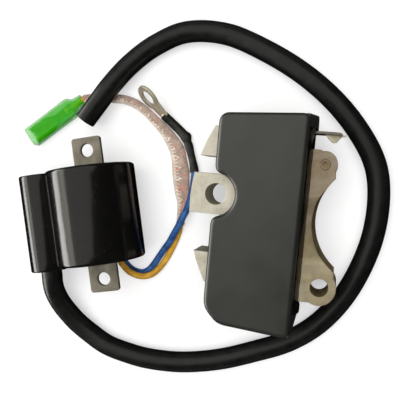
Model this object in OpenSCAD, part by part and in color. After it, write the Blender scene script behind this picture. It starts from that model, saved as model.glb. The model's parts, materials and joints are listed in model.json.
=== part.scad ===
// Ignition coil set for a small two-stroke engine, as two loose pieces on a bench.
// The coil has a high-tension lead and a two-wire harness; the module goes inside a flywheel.
// Millimetres, +Z up. The origin is the centre of the flat on the underside of the coil's case.
// +Y runs along the coil's core strap and +X runs towards the module.

/* [Coil case] */
// Outside diameter of the coil's round case
coil_d = 29; // [28:0.5:31]
// Length of the coil's case along the strap
coil_l = 31.2; // [30.6:0.2:34]
// Wall of the coil's case
coil_wall = 1.6; // [1.2:0.1:1.6]
// Radius on the end edges of the coil's case
coil_edge_r = 1; // [0.6:0.2:2]
// Outside diameter of the boss that holds the high-tension lead
boss_d = 13.4; // [11:0.2:13.6]
// How far the boss stands out past the case's mouth
boss_out = 1.8; // [0.5:0.1:2]

/* [Core strap] */
// Length of the steel strap that carries the coil
strap_l = 51.4; // [50:0.2:56]
// Width of the strap
strap_w = 10; // [9:0.5:10]
// Thickness of the strap
strap_t = 1.5; // [1:0.1:1.5]
// Distance between the strap's two holes
strap_hole_gap = 42.8; // [42:0.2:44]
// Diameter of the strap's holes
strap_hole_d = 4.3; // [3.2:0.1:5]

/* [Wires] */
// Diameter of the high-tension lead
lead_d = 7; // [6:0.5:7]
// Diameter of the yellow wire
yellow_d = 2.2; // [1.6:0.1:2.2]
// Diameter of the blue wire
blue_d = 2.3; // [1.6:0.1:2.3]
// Diameter of the shrink tube over the blue wire's crimp
shrink_d = 3.2; // [2.6:0.1:3.2]

/* [Ring terminal] */
// Outside diameter of the eye
eye_d = 9.2; // [8:0.2:9.6]
// Hole in the eye
eye_hole_d = 5.3; // [4.3:0.1:5.5]
// Thickness of the terminal's sheet
eye_t = 0.8; // [0.6:0.1:1]
// Lean of the eye about its long axis
eye_lean = 57; // [55:1:80]

/* [Connector] */
// Length of the soft cover over the spade socket, without its neck
cover_l = 20; // [18:0.5:21]
// Width of the cover
cover_w = 7.6; // [7:0.1:8]
// Height of the cover
cover_h = 5; // [4.8:0.1:5.6]

/* [Module case] */
// Length of the module's case
case_l = 64; // [64:0.5:68]
// Width of the module's case at the top
case_w = 26.4; // [26.4:0.1:27.5]
// How far the case's upper cheek stands out on the lobe side
cheek_w = 2.4; // [2:0.1:2.6]
// Height of the module's case
case_h = 25; // [24.8:0.1:27]
// Wall of the module's case
case_wall = 1.6; // [1.2:0.1:1.6]
// Radius of the bay that clears the lug's screw head
bay_r = 6.6; // [6.5:0.1:7]

/* [Module core] */
// Height of the core's underside above the module's foot
core_z = 7; // [6.6:0.1:7]
// Thickness of the core's stack of sheets
core_t = 12.5; // [11.5:0.5:12.5]
// Radius of the pole faces, which run inside the flywheel's magnets
pole_r = 49; // [48.5:0.5:49.5]
// Screw hole in the middle lug
lug_hole_d = 6.5; // [5.5:0.1:6.6]
// Screw hole in the lower lobe
lobe_hole_d = 5.4; // [4.5:0.1:5.6]

/* [Hidden] */
$fn = 64;
gap = 0.05;

// Coil
coil_r = coil_d / 2;
coil_z = coil_r - 0.3;
coil_end = coil_l / 2;
cavity_r = coil_r - coil_wall;
cavity_end = coil_end - 2;
potting_t = 2.4;
boss_x = -21.2;
boss_z = 9.5;
boss_r = boss_d / 2;
lead_r = lead_d / 2;
boss_mouth = -coil_end - boss_out;
boss_end = coil_end + 0.2;
lead_depth = 23;
strap_y = -0.2;
contact_y = 10.4;
sheet_t = 0.5;
sheet_l = 26.2;
sheet_w = 9;
sheets_each_side = 7;
stack_h = strap_t + 2 * sheets_each_side * sheet_t;
bobbin_y = 13;
primary_r = 7.2;
primary_wire_r = 8.3;
primary_flange_r = 8.8;
secondary_r = 9;
secondary_tube_r = 9.8;
secondary_wire_r = 12.1;
secondary_rib_r = 12.5;
ribs = 6;
rib_t = 0.8;
rib_step = (2 * bobbin_y - rib_t) / (ribs - 1);
yellow_exit = [3.2, -coil_end, 6.4];
blue_exit = [3, -coil_end, 3.4];

// Routes of the wires: points in order, [x, y, z of the centre line]
lead_route = [
    [boss_x, boss_mouth, boss_z], [-21.3, -19.6, 9.4], [-21.7, -22.2, 8.9], [-21.7, -25.4, 8.1],
    [-20.9, -29.2, 7], [-19.2, -33.2, 5.8], [-16.5, -37.6, 4.7], [-12.6, -42, 3.8], [-7.2, -46.6, 3.5],
    [0, -50, 3.5], [8.5, -52.8, 3.5], [20, -54.6, 3.5], [33, -54.4, 3.5], [45.5, -52.4, 3.5],
    [56.8, -49.8, 3.5], [66.9, -44.9, 3.5], [75.6, -37.4, 3.5], [82.6, -28, 3.5], [87.8, -17.6, 3.5],
    [90.8, -6.2, 3.5], [91, 4.2, 3.5], [87.6, 14.6, 3.5], [81.2, 25.8, 3.5], [72.2, 36.4, 3.5],
    [61, 45.9, 3.5], [49, 53.4, 3.5], [36, 56.4, 3.5], [24.6, 54, 3.5], [15.6, 49.2, 4.4],
    [8.4, 42.9, 6.4], [2.4, 37, 7], [-2.5, 32.4, 7]
];
yellow_route = [
    yellow_exit, [3.2, -17.4, 6.1], [3.7, -19.2, 5], [4.4, -20.8, 4.1], [5.8, -22.2, 3.55],
    [8.8, -23.5, 3.5], [12, -23.5, 3.2], [14.9, -21.9, 2.1], [17.8, -19, 1.3], [20.5, -15.4, 1.1],
    [22.5, -12.3, 1.1], [24.1, -9.2, 1.2], [24.8, -7.2, 1.3]
];
blue_route = [
    blue_exit, [3.1, -17.2, 3.1], [3.6, -18.9, 2], [4.6, -20.6, 1.2], [6.2, -21.8, 1.15],
    [8.8, -22.6, 1.15], [11.2, -21.9, 1.15], [13.4, -20.1, 1.2], [16.2, -17.1, 1.6], [18.3, -15, 2.3],
    [20.5, -12.9, 3.1], [22.7, -10.2, 3.8], [24.9, -7.4, 4.1], [26.6, -4.9, 4.1], [28.1, -2.6, 3.5],
    [29.6, 0.7, 2.4], [30.7, 4, 1.7], [31.5, 7.2, 1.45], [32, 9.8, 1.6]
];
shrink_route = [
    [32.1, 10, 1.6], [32.1, 12.8, 1.6], [31.8, 15.7, 1.6], [31.4, 18.6, 1.6], [30.9, 21.2, 1.6],
    [29.7, 23.5, 1.6], [28.2, 25.6, 1.7], [26.6, 27.6, 2.1], [25.5, 29, 2.5], [24.4, 30.4, 2.9]
];
// The sleeve lies flattened, so each point also has the width and height of its section
sleeve_route = [
    [24.7, -7.4, 1.3, 2.9, 2.6], [25.4, -4.4, 1.3, 2.9, 2.6], [26.2, -1.6, 1.3, 3.4, 2.6],
    [26.8, 1, 1.3, 4.3, 2.6], [26.9, 4.4, 1.3, 5.1, 2.6], [27.1, 7.9, 1.3, 5.6, 2.6],
    [27.3, 11.3, 1.3, 5.7, 2.6], [27.3, 14.7, 1.3, 5.2, 2.6], [27, 18.2, 1.3, 5, 2.6],
    [25.5, 21.9, 1.3, 4.5, 2.6], [23.5, 25.5, 1.3, 3.7, 2.6], [20.6, 29.4, 1.4, 3.2, 2.8],
    [18.1, 32.6, 1.4, 3, 2.9], [15.5, 35.3, 1.5, 3, 3], [13, 37.1, 1.5, 3, 3], [10.2, 38.3, 1.5, 3, 3],
    [7.3, 39, 1.5, 3, 3], [4.4, 39.7, 1.5, 3, 3], [1.6, 40.2, 1.5, 3, 3], [-1.4, 40.5, 1.7, 3, 3],
    [-4, 40.5, 2.4, 2.9, 2.9]
];

// Ring terminal: from the eye's centre towards the crimp
eye_at = [20.2, 36.9, 4.55];
eye_turn = -56.5;
eye_pitch = 12;
neck_l = 4.2;
crimp_r = 1.3;
crimp_l = 3.4;

// Spade socket and its cover
cover_at = [-16.7, 34.5, 0];
cover_turn = 26.2;
neck_out_l = 4.2;
cover_wall = 0.5;
neck_r = 2.1;
wire_hole_r = 1.5;
socket_w = 5.6;
socket_l = 8;
sheet = 0.4;

// Module: its own frame has the origin under the centre of the case
module_at = [53.2, -8.5, 0];
module_turn = -12.5;
case_x = case_w / 2;
case_y = case_l / 2;
case_rise = 1.3;
case_drop = 0.8;
cheek_root = case_x - 0.5;
low_cheek_w = cheek_w - 0.8;
upper_cheek_y = [29.4, case_y + case_rise - 0.05];
low_cheek_y = [-case_y - case_drop + 0.1, -25.8];
slope_z = [8, 18];
core_top = core_z + core_t;
lug = [-13.2, 7.5];
lug_half_w = 6.2;
leg_w = 9.4;
upper_leg_y = 23.6;
lower_leg_y = -15.2;
crank = [27.9, 4.7];
hub_bay = [36.4, 2.4];
hub_bay_r = 19;
yoke_x = 7.5;
leg_end = 11;
yoke_y = 23.4;
upper_lobe = [18.6, 19.1];
upper_lobe_r = 4;
lower_lobe = [20.4, -17.4];
lower_lobe_r = 5.4;
rivet_r = 1.5;
rivet_spots = [upper_lobe, [11.6, 2.4], [11.6, -18.6]];
fit = 0.2;
core_mid_z = core_z + core_t / 2;
resin_x = 11.8;
resin_out_x = case_x + low_cheek_w;
board_z = 5.6;
board_t = 1;
charge_x = [-11.3, 6.2];
trigger_x = [-8, 4];
tab_y = 28.4;
tab_z = 11.5;
tab_h = 6.3;
tab_t = 0.8;
tab_l = 10.9;
spur_t = 0.6;

// Cylinder along Y from y0 to y1, at the coil's axis unless told otherwise
module along_y(y0, y1, r, x = 0, z = coil_z) {
    translate([x, y0, z])
        rotate([-90, 0, 0])
            cylinder(h = y1 - y0, r = r);
}

module ring_y(y0, y1, r_out, r_in) {
    difference() {
        along_y(y0, y1, r_out);
        along_y(y0 - 1, y1 + 1, r_in);
    }
}

// Drum along Y with rounded end edges, centred on y = 0
module drum(r, l, edge, x = 0, z = coil_z) {
    translate([x, -l / 2, z])
        rotate([-90, 0, 0])
            rotate_extrude() {
                square([r - edge, l]);
                translate([0, edge])
                    square([r, l - 2 * edge]);
                for (v = [edge, l - edge])
                    translate([r - edge, v])
                        circle(edge);
            }
}

// Box given by its lowest and highest corners
module span(low, high) {
    translate(low)
        cube(high - low);
}

// Tube swept along a route of [x, y, z, width, height] with a horizontal sideways direction
function unit(v) = v / norm(v);
function spot(p) = [p[0], p[1], p[2]];
function heading(route, i) =
    unit(spot(route[min(i + 1, len(route) - 1)]) - spot(route[max(i - 1, 0)]));
function section(route, i, sides) =
    let (t = heading(route, i), s = unit([-t[1], t[0], 0]), u = cross(t, s), p = route[i])
    [for (k = [0:sides - 1])
        let (a = 360 * (k + 0.5) / sides)
        spot(p) + s * (p[3] / 2 * cos(a)) + u * (p[4] / 2 * sin(a))];
function round_route(route, d) = [for (p = route) [p[0], p[1], p[2], d, d]];

module sweep_tube(route, sides) {
    rings = len(route);
    points = [for (i = [0:rings - 1]) each section(route, i, sides)];
    skin = [for (i = [0:rings - 2], k = [0:sides - 1])
        let (k1 = (k + 1) % sides)
        [i * sides + k, (i + 1) * sides + k, (i + 1) * sides + k1, i * sides + k1]];
    start = [for (k = [0:sides - 1]) k];
    finish = [for (k = [sides - 1:-1:0]) (rings - 1) * sides + k];
    polyhedron(points = points, faces = concat([start], skin, [finish]), convexity = 10);
}

// ---- Coil ----

module coil_case() {
    color([0.05, 0.05, 0.05])
        difference() {
            union() {
                drum(coil_r, coil_l, coil_edge_r);
                translate([0, (boss_mouth + boss_end) / 2, 0])
                    drum(boss_r, boss_end - boss_mouth, coil_edge_r / 2, boss_x, boss_z);
                span([boss_x, -coil_end + coil_edge_r, boss_z - 4.5],
                     [-coil_r / 2, coil_end - coil_edge_r, boss_z + 4]);
            }
            along_y(-coil_end - 1, cavity_end, cavity_r);
            along_y(boss_mouth - 1, boss_mouth + lead_depth + gap, lead_r + gap, boss_x, boss_z);
            along_y(0, contact_y + 1, 1, boss_x, boss_z);
            translate([boss_x, contact_y, boss_z])
                rotate([0, 90, 0])
                    cylinder(h = -boss_x - coil_r / 2, r = 1);
            span([-strap_w / 2 - gap, 0, coil_z - strap_t / 2 - gap],
                 [strap_w / 2 + gap, coil_end + 1, coil_z + strap_t / 2 + gap]);
            span([-coil_d, -coil_l, -coil_d], [coil_d, coil_l, 0]);
        }
}

module strap_outline() {
    corner = 1;
    difference() {
        union() {
            square([strap_w - 2 * corner, strap_l], center = true);
            square([strap_w, strap_l - 2 * corner], center = true);
            for (x = [-1, 1], y = [-1, 1])
                translate([x * (strap_w / 2 - corner), y * (strap_l / 2 - corner)])
                    circle(corner);
        }
        for (y = [-1, 1])
            translate([0, y * strap_hole_gap / 2])
                circle(d = strap_hole_d);
    }
}

module core_strap() {
    color([0.47, 0.44, 0.37])
        translate([0, strap_y, coil_z - strap_t / 2])
            linear_extrude(strap_t)
                strap_outline();
}

// Thin steel sheets above and below the strap, with a hairline between them
module core_sheets() {
    hairline = 0.04;
    color([0.55, 0.54, 0.52])
        for (i = [0:sheets_each_side - 1], side = [-1, 1])
            translate([0, 0, coil_z + side * (strap_t / 2 + (i + 0.5) * sheet_t)])
                cube([sheet_w, sheet_l, sheet_t - hairline], center = true);
}

module primary_bobbin() {
    flange_t = 1;
    color([0.85, 0.82, 0.72])
        difference() {
            union() {
                along_y(-bobbin_y, bobbin_y, primary_r);
                along_y(-bobbin_y, -bobbin_y + flange_t, primary_flange_r);
                along_y(bobbin_y - flange_t, bobbin_y, primary_flange_r);
            }
            translate([0, 0, coil_z])
                cube([strap_w + 2 * gap, 2 * bobbin_y + 2, stack_h + 2 * gap], center = true);
        }
}

module primary_winding() {
    color([0.72, 0.42, 0.2])
        ring_y(-bobbin_y + 1 + gap, bobbin_y - 1 - gap, primary_wire_r, primary_r + gap);
}

module insulation_tape() {
    color([0.85, 0.7, 0.25])
        ring_y(-bobbin_y + 1 + gap, bobbin_y - 1 - gap, primary_wire_r + 0.3, primary_wire_r + gap);
}

module secondary_bobbin() {
    color([0.3, 0.3, 0.28])
        difference() {
            union() {
                along_y(-bobbin_y, bobbin_y, secondary_tube_r);
                for (i = [0:ribs - 1])
                    along_y(-bobbin_y + i * rib_step, -bobbin_y + i * rib_step + rib_t, secondary_rib_r);
            }
            along_y(-bobbin_y - 1, bobbin_y + 1, secondary_r);
        }
}

module secondary_winding() {
    color([0.62, 0.3, 0.14])
        for (i = [0:ribs - 2])
            ring_y(-bobbin_y + i * rib_step + rib_t + gap, -bobbin_y + (i + 1) * rib_step - gap,
                   secondary_wire_r, secondary_tube_r + gap);
}

// Resin that closes the case's mouth round the strap and the two pins
module coil_potting() {
    color([0.09, 0.08, 0.07])
        difference() {
            along_y(-coil_end, -coil_end + potting_t, cavity_r - gap);
            span([-strap_w / 2 - gap, -coil_l, coil_z - strap_t / 2 - gap],
                 [strap_w / 2 + gap, 0, coil_z + strap_t / 2 + gap]);
            for (p = [yellow_exit, blue_exit])
                along_y(-coil_end + 0.8, 0, 0.55, p[0], p[2]);
        }
}

module primary_pins() {
    color([0.8, 0.78, 0.74])
        for (p = [yellow_exit, blue_exit])
            along_y(-coil_end + 0.8, -bobbin_y, 0.5, p[0], p[2]);
}

// Brass spike in the lead's potted end, with a link to the secondary winding
module lead_contact() {
    spike_r = 0.6;
    link_r = 0.45;
    color([0.8, 0.62, 0.25]) {
        along_y(2, contact_y + 0.8, spike_r, boss_x, boss_z);
        translate([boss_x, contact_y, boss_z])
            rotate([0, 90, 0])
                cylinder(h = -boss_x - 11.8, r = link_r);
    }
}

module lead_inner_end() {
    color([0.07, 0.07, 0.07])
        difference() {
            along_y(boss_mouth, boss_mouth + lead_depth, lead_r, boss_x, boss_z);
            along_y(1.9, coil_end, 0.65, boss_x, boss_z);
        }
}

// ---- High-tension lead and harness ----

module ht_lead() {
    color([0.08, 0.08, 0.08])
        sweep_tube(round_route(lead_route, lead_d), 10);
}

// The strands that show at the lead's cut end
module lead_conductor() {
    last = len(lead_route) - 1;
    from = lead_route[last];
    out = unit(from - lead_route[last - 1]);
    color([0.75, 0.45, 0.25])
        sweep_tube(round_route([from, from + 0.4 * out], 1.8), 8);
}

module yellow_wire() {
    color([0.8, 0.62, 0.12])
        sweep_tube(round_route(yellow_route, yellow_d), 8);
}

module blue_wire() {
    color([0.12, 0.3, 0.62])
        sweep_tube(round_route(blue_route, blue_d), 8);
}

module glass_sleeve() {
    color([0.85, 0.76, 0.68])
        sweep_tube(sleeve_route, 8);
}

module heat_shrink() {
    color([0.1, 0.1, 0.09])
        sweep_tube(round_route(shrink_route, shrink_d), 8);
}

// Flat eye with a tapering neck and a round crimp
module ring_terminal() {
    color([0.6, 0.58, 0.5])
        translate(eye_at)
            rotate([0, 0, eye_turn])
                rotate([0, eye_pitch, 0])
                    rotate([eye_lean, 0, 0]) {
                        translate([0, 0, -eye_t / 2])
                            linear_extrude(eye_t)
                                difference() {
                                    union() {
                                        circle(d = eye_d);
                                        polygon([[0, -eye_d / 2 + 0.2], [eye_d / 2 + neck_l, -crimp_r],
                                                 [eye_d / 2 + neck_l, crimp_r], [0, eye_d / 2 - 0.2]]);
                                    }
                                    circle(d = eye_hole_d);
                                }
                        translate([eye_d / 2 + neck_l - 1.2, 0, 0])
                            rotate([0, 90, 0])
                                cylinder(h = crimp_l, r = crimp_r);
                    }
}

module at_cover() {
    translate(cover_at)
        rotate([0, 0, cover_turn])
            children();
}

// Rolled spade socket: a floor, two curled edges and the wire's crimp
module spade_socket() {
    curl_r = 0.9;
    mid_z = cover_h / 2;
    mouth_x = -cover_l / 2 + 1.5;
    color([0.72, 0.66, 0.45])
        at_cover() {
            span([mouth_x, -socket_w / 2, mid_z - 1.2],
                 [mouth_x + socket_l, socket_w / 2, mid_z - 1.2 + sheet]);
            for (side = [-1, 1])
                translate([mouth_x, side * (socket_w / 2 - curl_r), mid_z - 1.2 + curl_r])
                    rotate([0, 90, 0])
                        difference() {
                            cylinder(h = socket_l - 1, r = curl_r);
                            translate([0, 0, -1])
                                cylinder(h = socket_l + 1, r = curl_r - sheet);
                        }
            translate([mouth_x + socket_l - 1, 0, mid_z])
                rotate([0, 90, 0])
                    cylinder(h = cover_l - socket_l, r = 1.35);
        }
}

// Soft cover: a flat sleeve with an open mouth and a round neck round the wire
module socket_cover() {
    mid_z = cover_h / 2;
    color([0.25, 0.85, 0.15, 0.6])
        at_cover()
            difference() {
                union() {
                    span([-cover_l / 2, -cover_w / 2 + cover_h / 4, 0],
                         [cover_l / 2, cover_w / 2 - cover_h / 4, cover_h]);
                    span([-cover_l / 2, -cover_w / 2, cover_h / 4],
                         [cover_l / 2, cover_w / 2, cover_h * 3 / 4]);
                    for (side = [-1, 1], z = [cover_h / 4, cover_h * 3 / 4])
                        translate([-cover_l / 2, side * (cover_w / 2 - cover_h / 4), z])
                            rotate([0, 90, 0])
                                cylinder(h = cover_l, r = cover_h / 4);
                    translate([cover_l / 2 - 0.5, 0, mid_z])
                        rotate([0, 90, 0])
                            cylinder(h = neck_out_l, r = neck_r);
                }
                span([-cover_l / 2 - 1, -cover_w / 2 + cover_wall, cover_wall],
                     [cover_l / 2 - 4, cover_w / 2 - cover_wall, cover_h - cover_wall]);
                translate([0, 0, mid_z])
                    rotate([0, 90, 0])
                        cylinder(h = cover_l, r = wire_hole_r);
            }
}

// ---- Module ----

module in_module() {
    translate(module_at)
        rotate([0, 0, module_turn])
            children();
}

// Plan of the case, pulled in by inset; its top end slopes up and its lower end slopes down to the right
module case_outline(inset) {
    round_r = 3;
    left = -case_x + inset;
    right = case_x - inset;
    top = case_y - inset;
    difference() {
        union() {
            polygon([[left, 0], [left, -case_y + 5.6 + inset / 2], [left + 4.6, -case_y + 0.7 + inset],
                     [right, -case_y - case_drop + inset], [right, top + case_rise],
                     [left + round_r, top], [left + round_r, top - round_r], [left, top - round_r]]);
            translate([left + round_r, top - round_r])
                circle(round_r);
        }
        translate(lug)
            circle(bay_r + inset);
    }
}

// Upright cylinder through the whole stack, or past both its faces when it cuts a hole
module post(at, r, past = 0) {
    translate([at[0], at[1], core_z - past])
        cylinder(h = core_t + 2 * past, r = r);
}

// Three pole legs that end on the pole circle
module pole_legs() {
    intersection() {
        post(crank, pole_r);
        union() {
            for (y = [upper_leg_y, lower_leg_y])
                span([-25, y - leg_w / 2, core_z], [leg_end, y + leg_w / 2, core_top]);
            span([-25, lug[1] - lug_half_w, core_z], [leg_end, lug[1] + lug_half_w, core_top]);
        }
    }
}

// Yoke and the two lobes that carry the screws
module yoke() {
    translate([0, 0, core_z])
        linear_extrude(core_t)
            polygon([[yoke_x, yoke_y], [16.8, yoke_y], upper_lobe + [0, 3.5], upper_lobe + [3.5, 0],
                     lower_lobe + [4.6, 0], lower_lobe - [0, 4.6], [yoke_x, -yoke_y + 0.8]]);
    post(upper_lobe, upper_lobe_r);
    post(lower_lobe, lower_lobe_r);
}

module module_core() {
    color([0.68, 0.66, 0.58])
        in_module()
            difference() {
                union() {
                    pole_legs();
                    yoke();
                }
                post(hub_bay, hub_bay_r, 1);
                post(lug, lug_hole_d / 2, 1);
                post(lower_lobe, lobe_hole_d / 2, 1);
                for (p = rivet_spots)
                    post(p, rivet_r, 1);
            }
}

module core_rivets() {
    color([0.5, 0.48, 0.42])
        in_module()
            for (p = rivet_spots)
                translate([p[0], p[1], core_z + 0.1])
                    cylinder(h = core_t - 0.2, r = rivet_r - gap / 2);
}

// Slots in the case's back wall for the three legs, and its open side for the yoke
module core_slots() {
    for (y = [upper_leg_y, lower_leg_y])
        span([-case_x - 1, y - leg_w / 2 - fit, core_z - fit], [0, y + leg_w / 2 + fit, core_top + fit]);
    span([-case_x, lug[1] - lug_half_w - fit, core_z - fit], [0, lug[1] + lug_half_w + fit, core_top + fit]);
    span([case_x - 3, low_cheek_y[1], case_wall], [case_x + cheek_w, upper_cheek_y[0], case_h - case_wall]);
}

// Thick end of the open side, from y[0] to y[1], that stands out by w between two sloping edges
module cheek(y, w) {
    translate([0, y[1], 0])
        rotate([90, 0, 0])
            linear_extrude(y[1] - y[0])
                polygon([[cheek_root, 0], [case_x, 0], [case_x + w, slope_z[0]], [case_x + w, slope_z[1]],
                         [case_x, case_h], [cheek_root, case_h]]);
}

module module_case() {
    color([0.28, 0.28, 0.27])
        in_module()
            difference() {
                union() {
                    linear_extrude(case_h)
                        case_outline(0);
                    cheek(upper_cheek_y, cheek_w);
                    cheek(low_cheek_y, low_cheek_w);
                }
                translate([0, 0, case_wall])
                    linear_extrude(case_h - 2 * case_wall)
                        case_outline(case_wall);
                core_slots();
                post(lug, bay_r, case_h);
            }
}

// Resin that closes the case's open side round the yoke and the output blade
module module_potting() {
    low_y = low_cheek_y[1] + gap;
    high_y = upper_cheek_y[0] - gap;
    low_z = case_wall + gap;
    high_z = case_h - case_wall - gap;
    color([0.05, 0.05, 0.05])
        in_module()
            difference() {
                translate([0, high_y, 0])
                    rotate([90, 0, 0])
                        linear_extrude(high_y - low_y)
                            polygon([[resin_x, low_z], [case_x, low_z], [resin_out_x, core_z],
                                     [resin_out_x, core_top], [case_x, high_z], [resin_x, high_z]]);
                span([0, -yoke_y + 0.8 - gap, core_z - gap], [case_w, yoke_y + gap, core_top + gap]);
                span([0, tab_y - tab_t / 2 - gap, tab_z - gap],
                     [case_w, tab_y + tab_t / 2 + gap, tab_z + tab_h + gap]);
            }
}

// Rectangular bobbin along X round a leg
module leg_bobbin(x, y, inner_y, wall, wire, lip) {
    inner_z = core_t + 2 * fit;
    translate([x[0], y, core_mid_z])
        rotate([0, 90, 0])
            difference() {
                union() {
                    linear_extrude(x[1] - x[0])
                        square([inner_z + 2 * wall, inner_y + 2 * wall], center = true);
                    for (v = [0, x[1] - x[0] - 1])
                        translate([0, 0, v])
                            linear_extrude(1)
                                square([inner_z + 2 * (wall + wire + lip), inner_y + 2 * (wall + wire + lip)],
                                       center = true);
                }
                translate([0, 0, -1])
                    linear_extrude(x[1] - x[0] + 2)
                        square([inner_z, inner_y], center = true);
            }
}

module leg_winding(x, y, inner_y, wall, wire) {
    inner_z = core_t + 2 * fit;
    translate([x[0] + 1 + gap, y, core_mid_z])
        rotate([0, 90, 0])
            linear_extrude(x[1] - x[0] - 2 - 2 * gap)
                difference() {
                    square([inner_z + 2 * (wall + wire), inner_y + 2 * (wall + wire)], center = true);
                    square([inner_z + 2 * (wall + gap), inner_y + 2 * (wall + gap)], center = true);
                }
}

module charge_bobbin() {
    color([0.2, 0.2, 0.2])
        in_module()
            leg_bobbin(charge_x, lower_leg_y, leg_w + 2 * fit, 0.8, 1.9, 0.4);
}

module charge_winding() {
    color([0.7, 0.38, 0.16])
        in_module()
            leg_winding(charge_x, lower_leg_y, leg_w + 2 * fit, 0.8, 1.9);
}

module trigger_bobbin() {
    color([0.25, 0.25, 0.24])
        in_module()
            leg_bobbin(trigger_x, upper_leg_y, leg_w + 2 * fit, 0.5, 0.8, 0.2);
}

module trigger_winding() {
    color([0.74, 0.42, 0.2])
        in_module()
            leg_winding(trigger_x, upper_leg_y, leg_w + 2 * fit, 0.5, 0.8);
}

module circuit_board() {
    color([0.2, 0.42, 0.22])
        in_module()
            span([-3.4, -5.6, board_z], [11, 15.4, board_z + board_t]);
}

// Parts that hang under the board, with a little clearance to its face
module capacitor() {
    color([0.72, 0.5, 0.16])
        in_module()
            span([-2.4, -4.8, 1.8], [8.8, 1.4, board_z - gap]);
}

module thyristor() {
    color([0.1, 0.1, 0.1])
        in_module()
            difference() {
                translate([0, 5, 1.8])
                    cylinder(h = board_z - 1.8 - gap, r = 2.3);
                span([-3, 6.3, 1], [3, 9, board_z]);
            }
}

module axial_part(x, y, l, r) {
    translate([x, y, board_z - gap - r])
        rotate([0, 90, 0])
            cylinder(h = l, r = r);
}

module diodes() {
    color([0.15, 0.15, 0.15])
        in_module()
            for (i = [0:2])
                axial_part(3.8, 3.6 + 3.2 * i, 5, 1.2);
}

module resistors() {
    color([0.76, 0.66, 0.48])
        in_module()
            for (i = [0:1])
                axial_part(-2.6, 9.2 + 2.6 * i, 5, 0.9);
}

// Blade of the output, standing on edge, with a flat three-cornered spur folded out of it
module output_tab() {
    color([0.62, 0.58, 0.48])
        in_module() {
            translate([0, 0, tab_z])
                linear_extrude(tab_h)
                    translate([leg_end + 0.5, tab_y - tab_t / 2])
                        square([tab_l, tab_t]);
            translate([0, 0, tab_z + tab_h / 2])
                linear_extrude(spur_t)
                    polygon([[17.6, tab_y - 0.2], [19.8, tab_y - 2.5], [21.2, tab_y - 2.4],
                             [22.2, tab_y - 0.9], [23.9, tab_y - 0.8], [23.9, tab_y], [22.2, tab_y]]);
        }
}

coil_case();
core_strap();
core_sheets();
primary_bobbin();
primary_winding();
insulation_tape();
secondary_bobbin();
secondary_winding();
coil_potting();
primary_pins();
lead_contact();
lead_inner_end();
ht_lead();
lead_conductor();
yellow_wire();
blue_wire();
glass_sleeve();
heat_shrink();
ring_terminal();
spade_socket();
socket_cover();
module_core();
core_rivets();
module_case();
module_potting();
charge_bobbin();
charge_winding();
trigger_bobbin();
trigger_winding();
circuit_board();
capacitor();
thyristor();
diodes();
resistors();
output_tab();
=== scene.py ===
"""Looks of an ignition coil set: the coil with its lead and harness, and the flywheel module beside it.
Metres, +Z up, in the CAD model's frame: the coil's strap runs along Y and the module lies towards +X."""
import json
import math
import random

import bmesh
import bpy
import numpy as np
from mathutils import Matrix, Vector, noise
from mathutils.geometry import tessellate_polygon


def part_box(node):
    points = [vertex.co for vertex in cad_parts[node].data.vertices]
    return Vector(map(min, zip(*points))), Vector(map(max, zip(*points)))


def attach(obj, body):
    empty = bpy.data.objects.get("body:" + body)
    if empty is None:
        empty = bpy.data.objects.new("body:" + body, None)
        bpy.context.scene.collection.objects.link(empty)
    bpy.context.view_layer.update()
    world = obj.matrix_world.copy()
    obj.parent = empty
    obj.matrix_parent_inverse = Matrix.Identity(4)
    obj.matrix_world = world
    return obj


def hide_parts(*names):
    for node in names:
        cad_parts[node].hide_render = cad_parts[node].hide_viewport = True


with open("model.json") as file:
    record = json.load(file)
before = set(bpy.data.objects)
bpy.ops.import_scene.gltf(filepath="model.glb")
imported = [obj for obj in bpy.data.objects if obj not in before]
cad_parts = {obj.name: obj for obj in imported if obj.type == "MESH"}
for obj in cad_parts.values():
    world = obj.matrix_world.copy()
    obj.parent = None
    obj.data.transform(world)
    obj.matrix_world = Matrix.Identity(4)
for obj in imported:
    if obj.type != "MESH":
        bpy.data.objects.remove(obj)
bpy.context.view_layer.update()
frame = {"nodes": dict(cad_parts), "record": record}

MM = 0.001
TAU = math.tau

# ---------------------------------------------------------------- routes and places

LEAD_ROUTE = [
    (-0.0212, -0.0174, 0.0095), (-0.0213, -0.0196, 0.0094), (-0.0217, -0.0222, 0.0089),
    (-0.0217, -0.0254, 0.0081), (-0.0209, -0.0292, 0.007), (-0.0192, -0.0332, 0.0058),
    (-0.0165, -0.0376, 0.0047), (-0.0126, -0.042, 0.0038), (-0.0072, -0.0466, 0.0035), (0, -0.05, 0.0035),
    (0.0085, -0.0528, 0.0035), (0.02, -0.0546, 0.0035), (0.033, -0.0544, 0.0035), (0.0455, -0.0524, 0.0035),
    (0.0568, -0.0498, 0.0035), (0.0669, -0.0449, 0.0035), (0.0756, -0.0374, 0.0035),
    (0.0826, -0.028, 0.0035), (0.0878, -0.0176, 0.0035), (0.0908, -0.0062, 0.0035), (0.091, 0.0042, 0.0035),
    (0.0876, 0.0146, 0.0035), (0.0812, 0.0258, 0.0035), (0.0722, 0.0364, 0.0035), (0.061, 0.0459, 0.0035),
    (0.049, 0.0534, 0.0035), (0.036, 0.0564, 0.0035), (0.0246, 0.054, 0.0035), (0.0156, 0.0492, 0.0044),
    (0.0084, 0.0429, 0.0064), (0.0024, 0.037, 0.007), (-0.0025, 0.0324, 0.007),
]
YELLOW_ROUTE = [
    (0.0032, -0.0156, 0.0064), (0.0032, -0.0174, 0.0061), (0.0037, -0.0192, 0.005),
    (0.0044, -0.0208, 0.0041), (0.0058, -0.0222, 0.00355), (0.0088, -0.0235, 0.0035),
    (0.012, -0.0235, 0.0032), (0.0149, -0.0219, 0.0021), (0.0178, -0.019, 0.0013),
    (0.0205, -0.0154, 0.0011), (0.0225, -0.0123, 0.0011), (0.0241, -0.0092, 0.0012),
]
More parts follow.
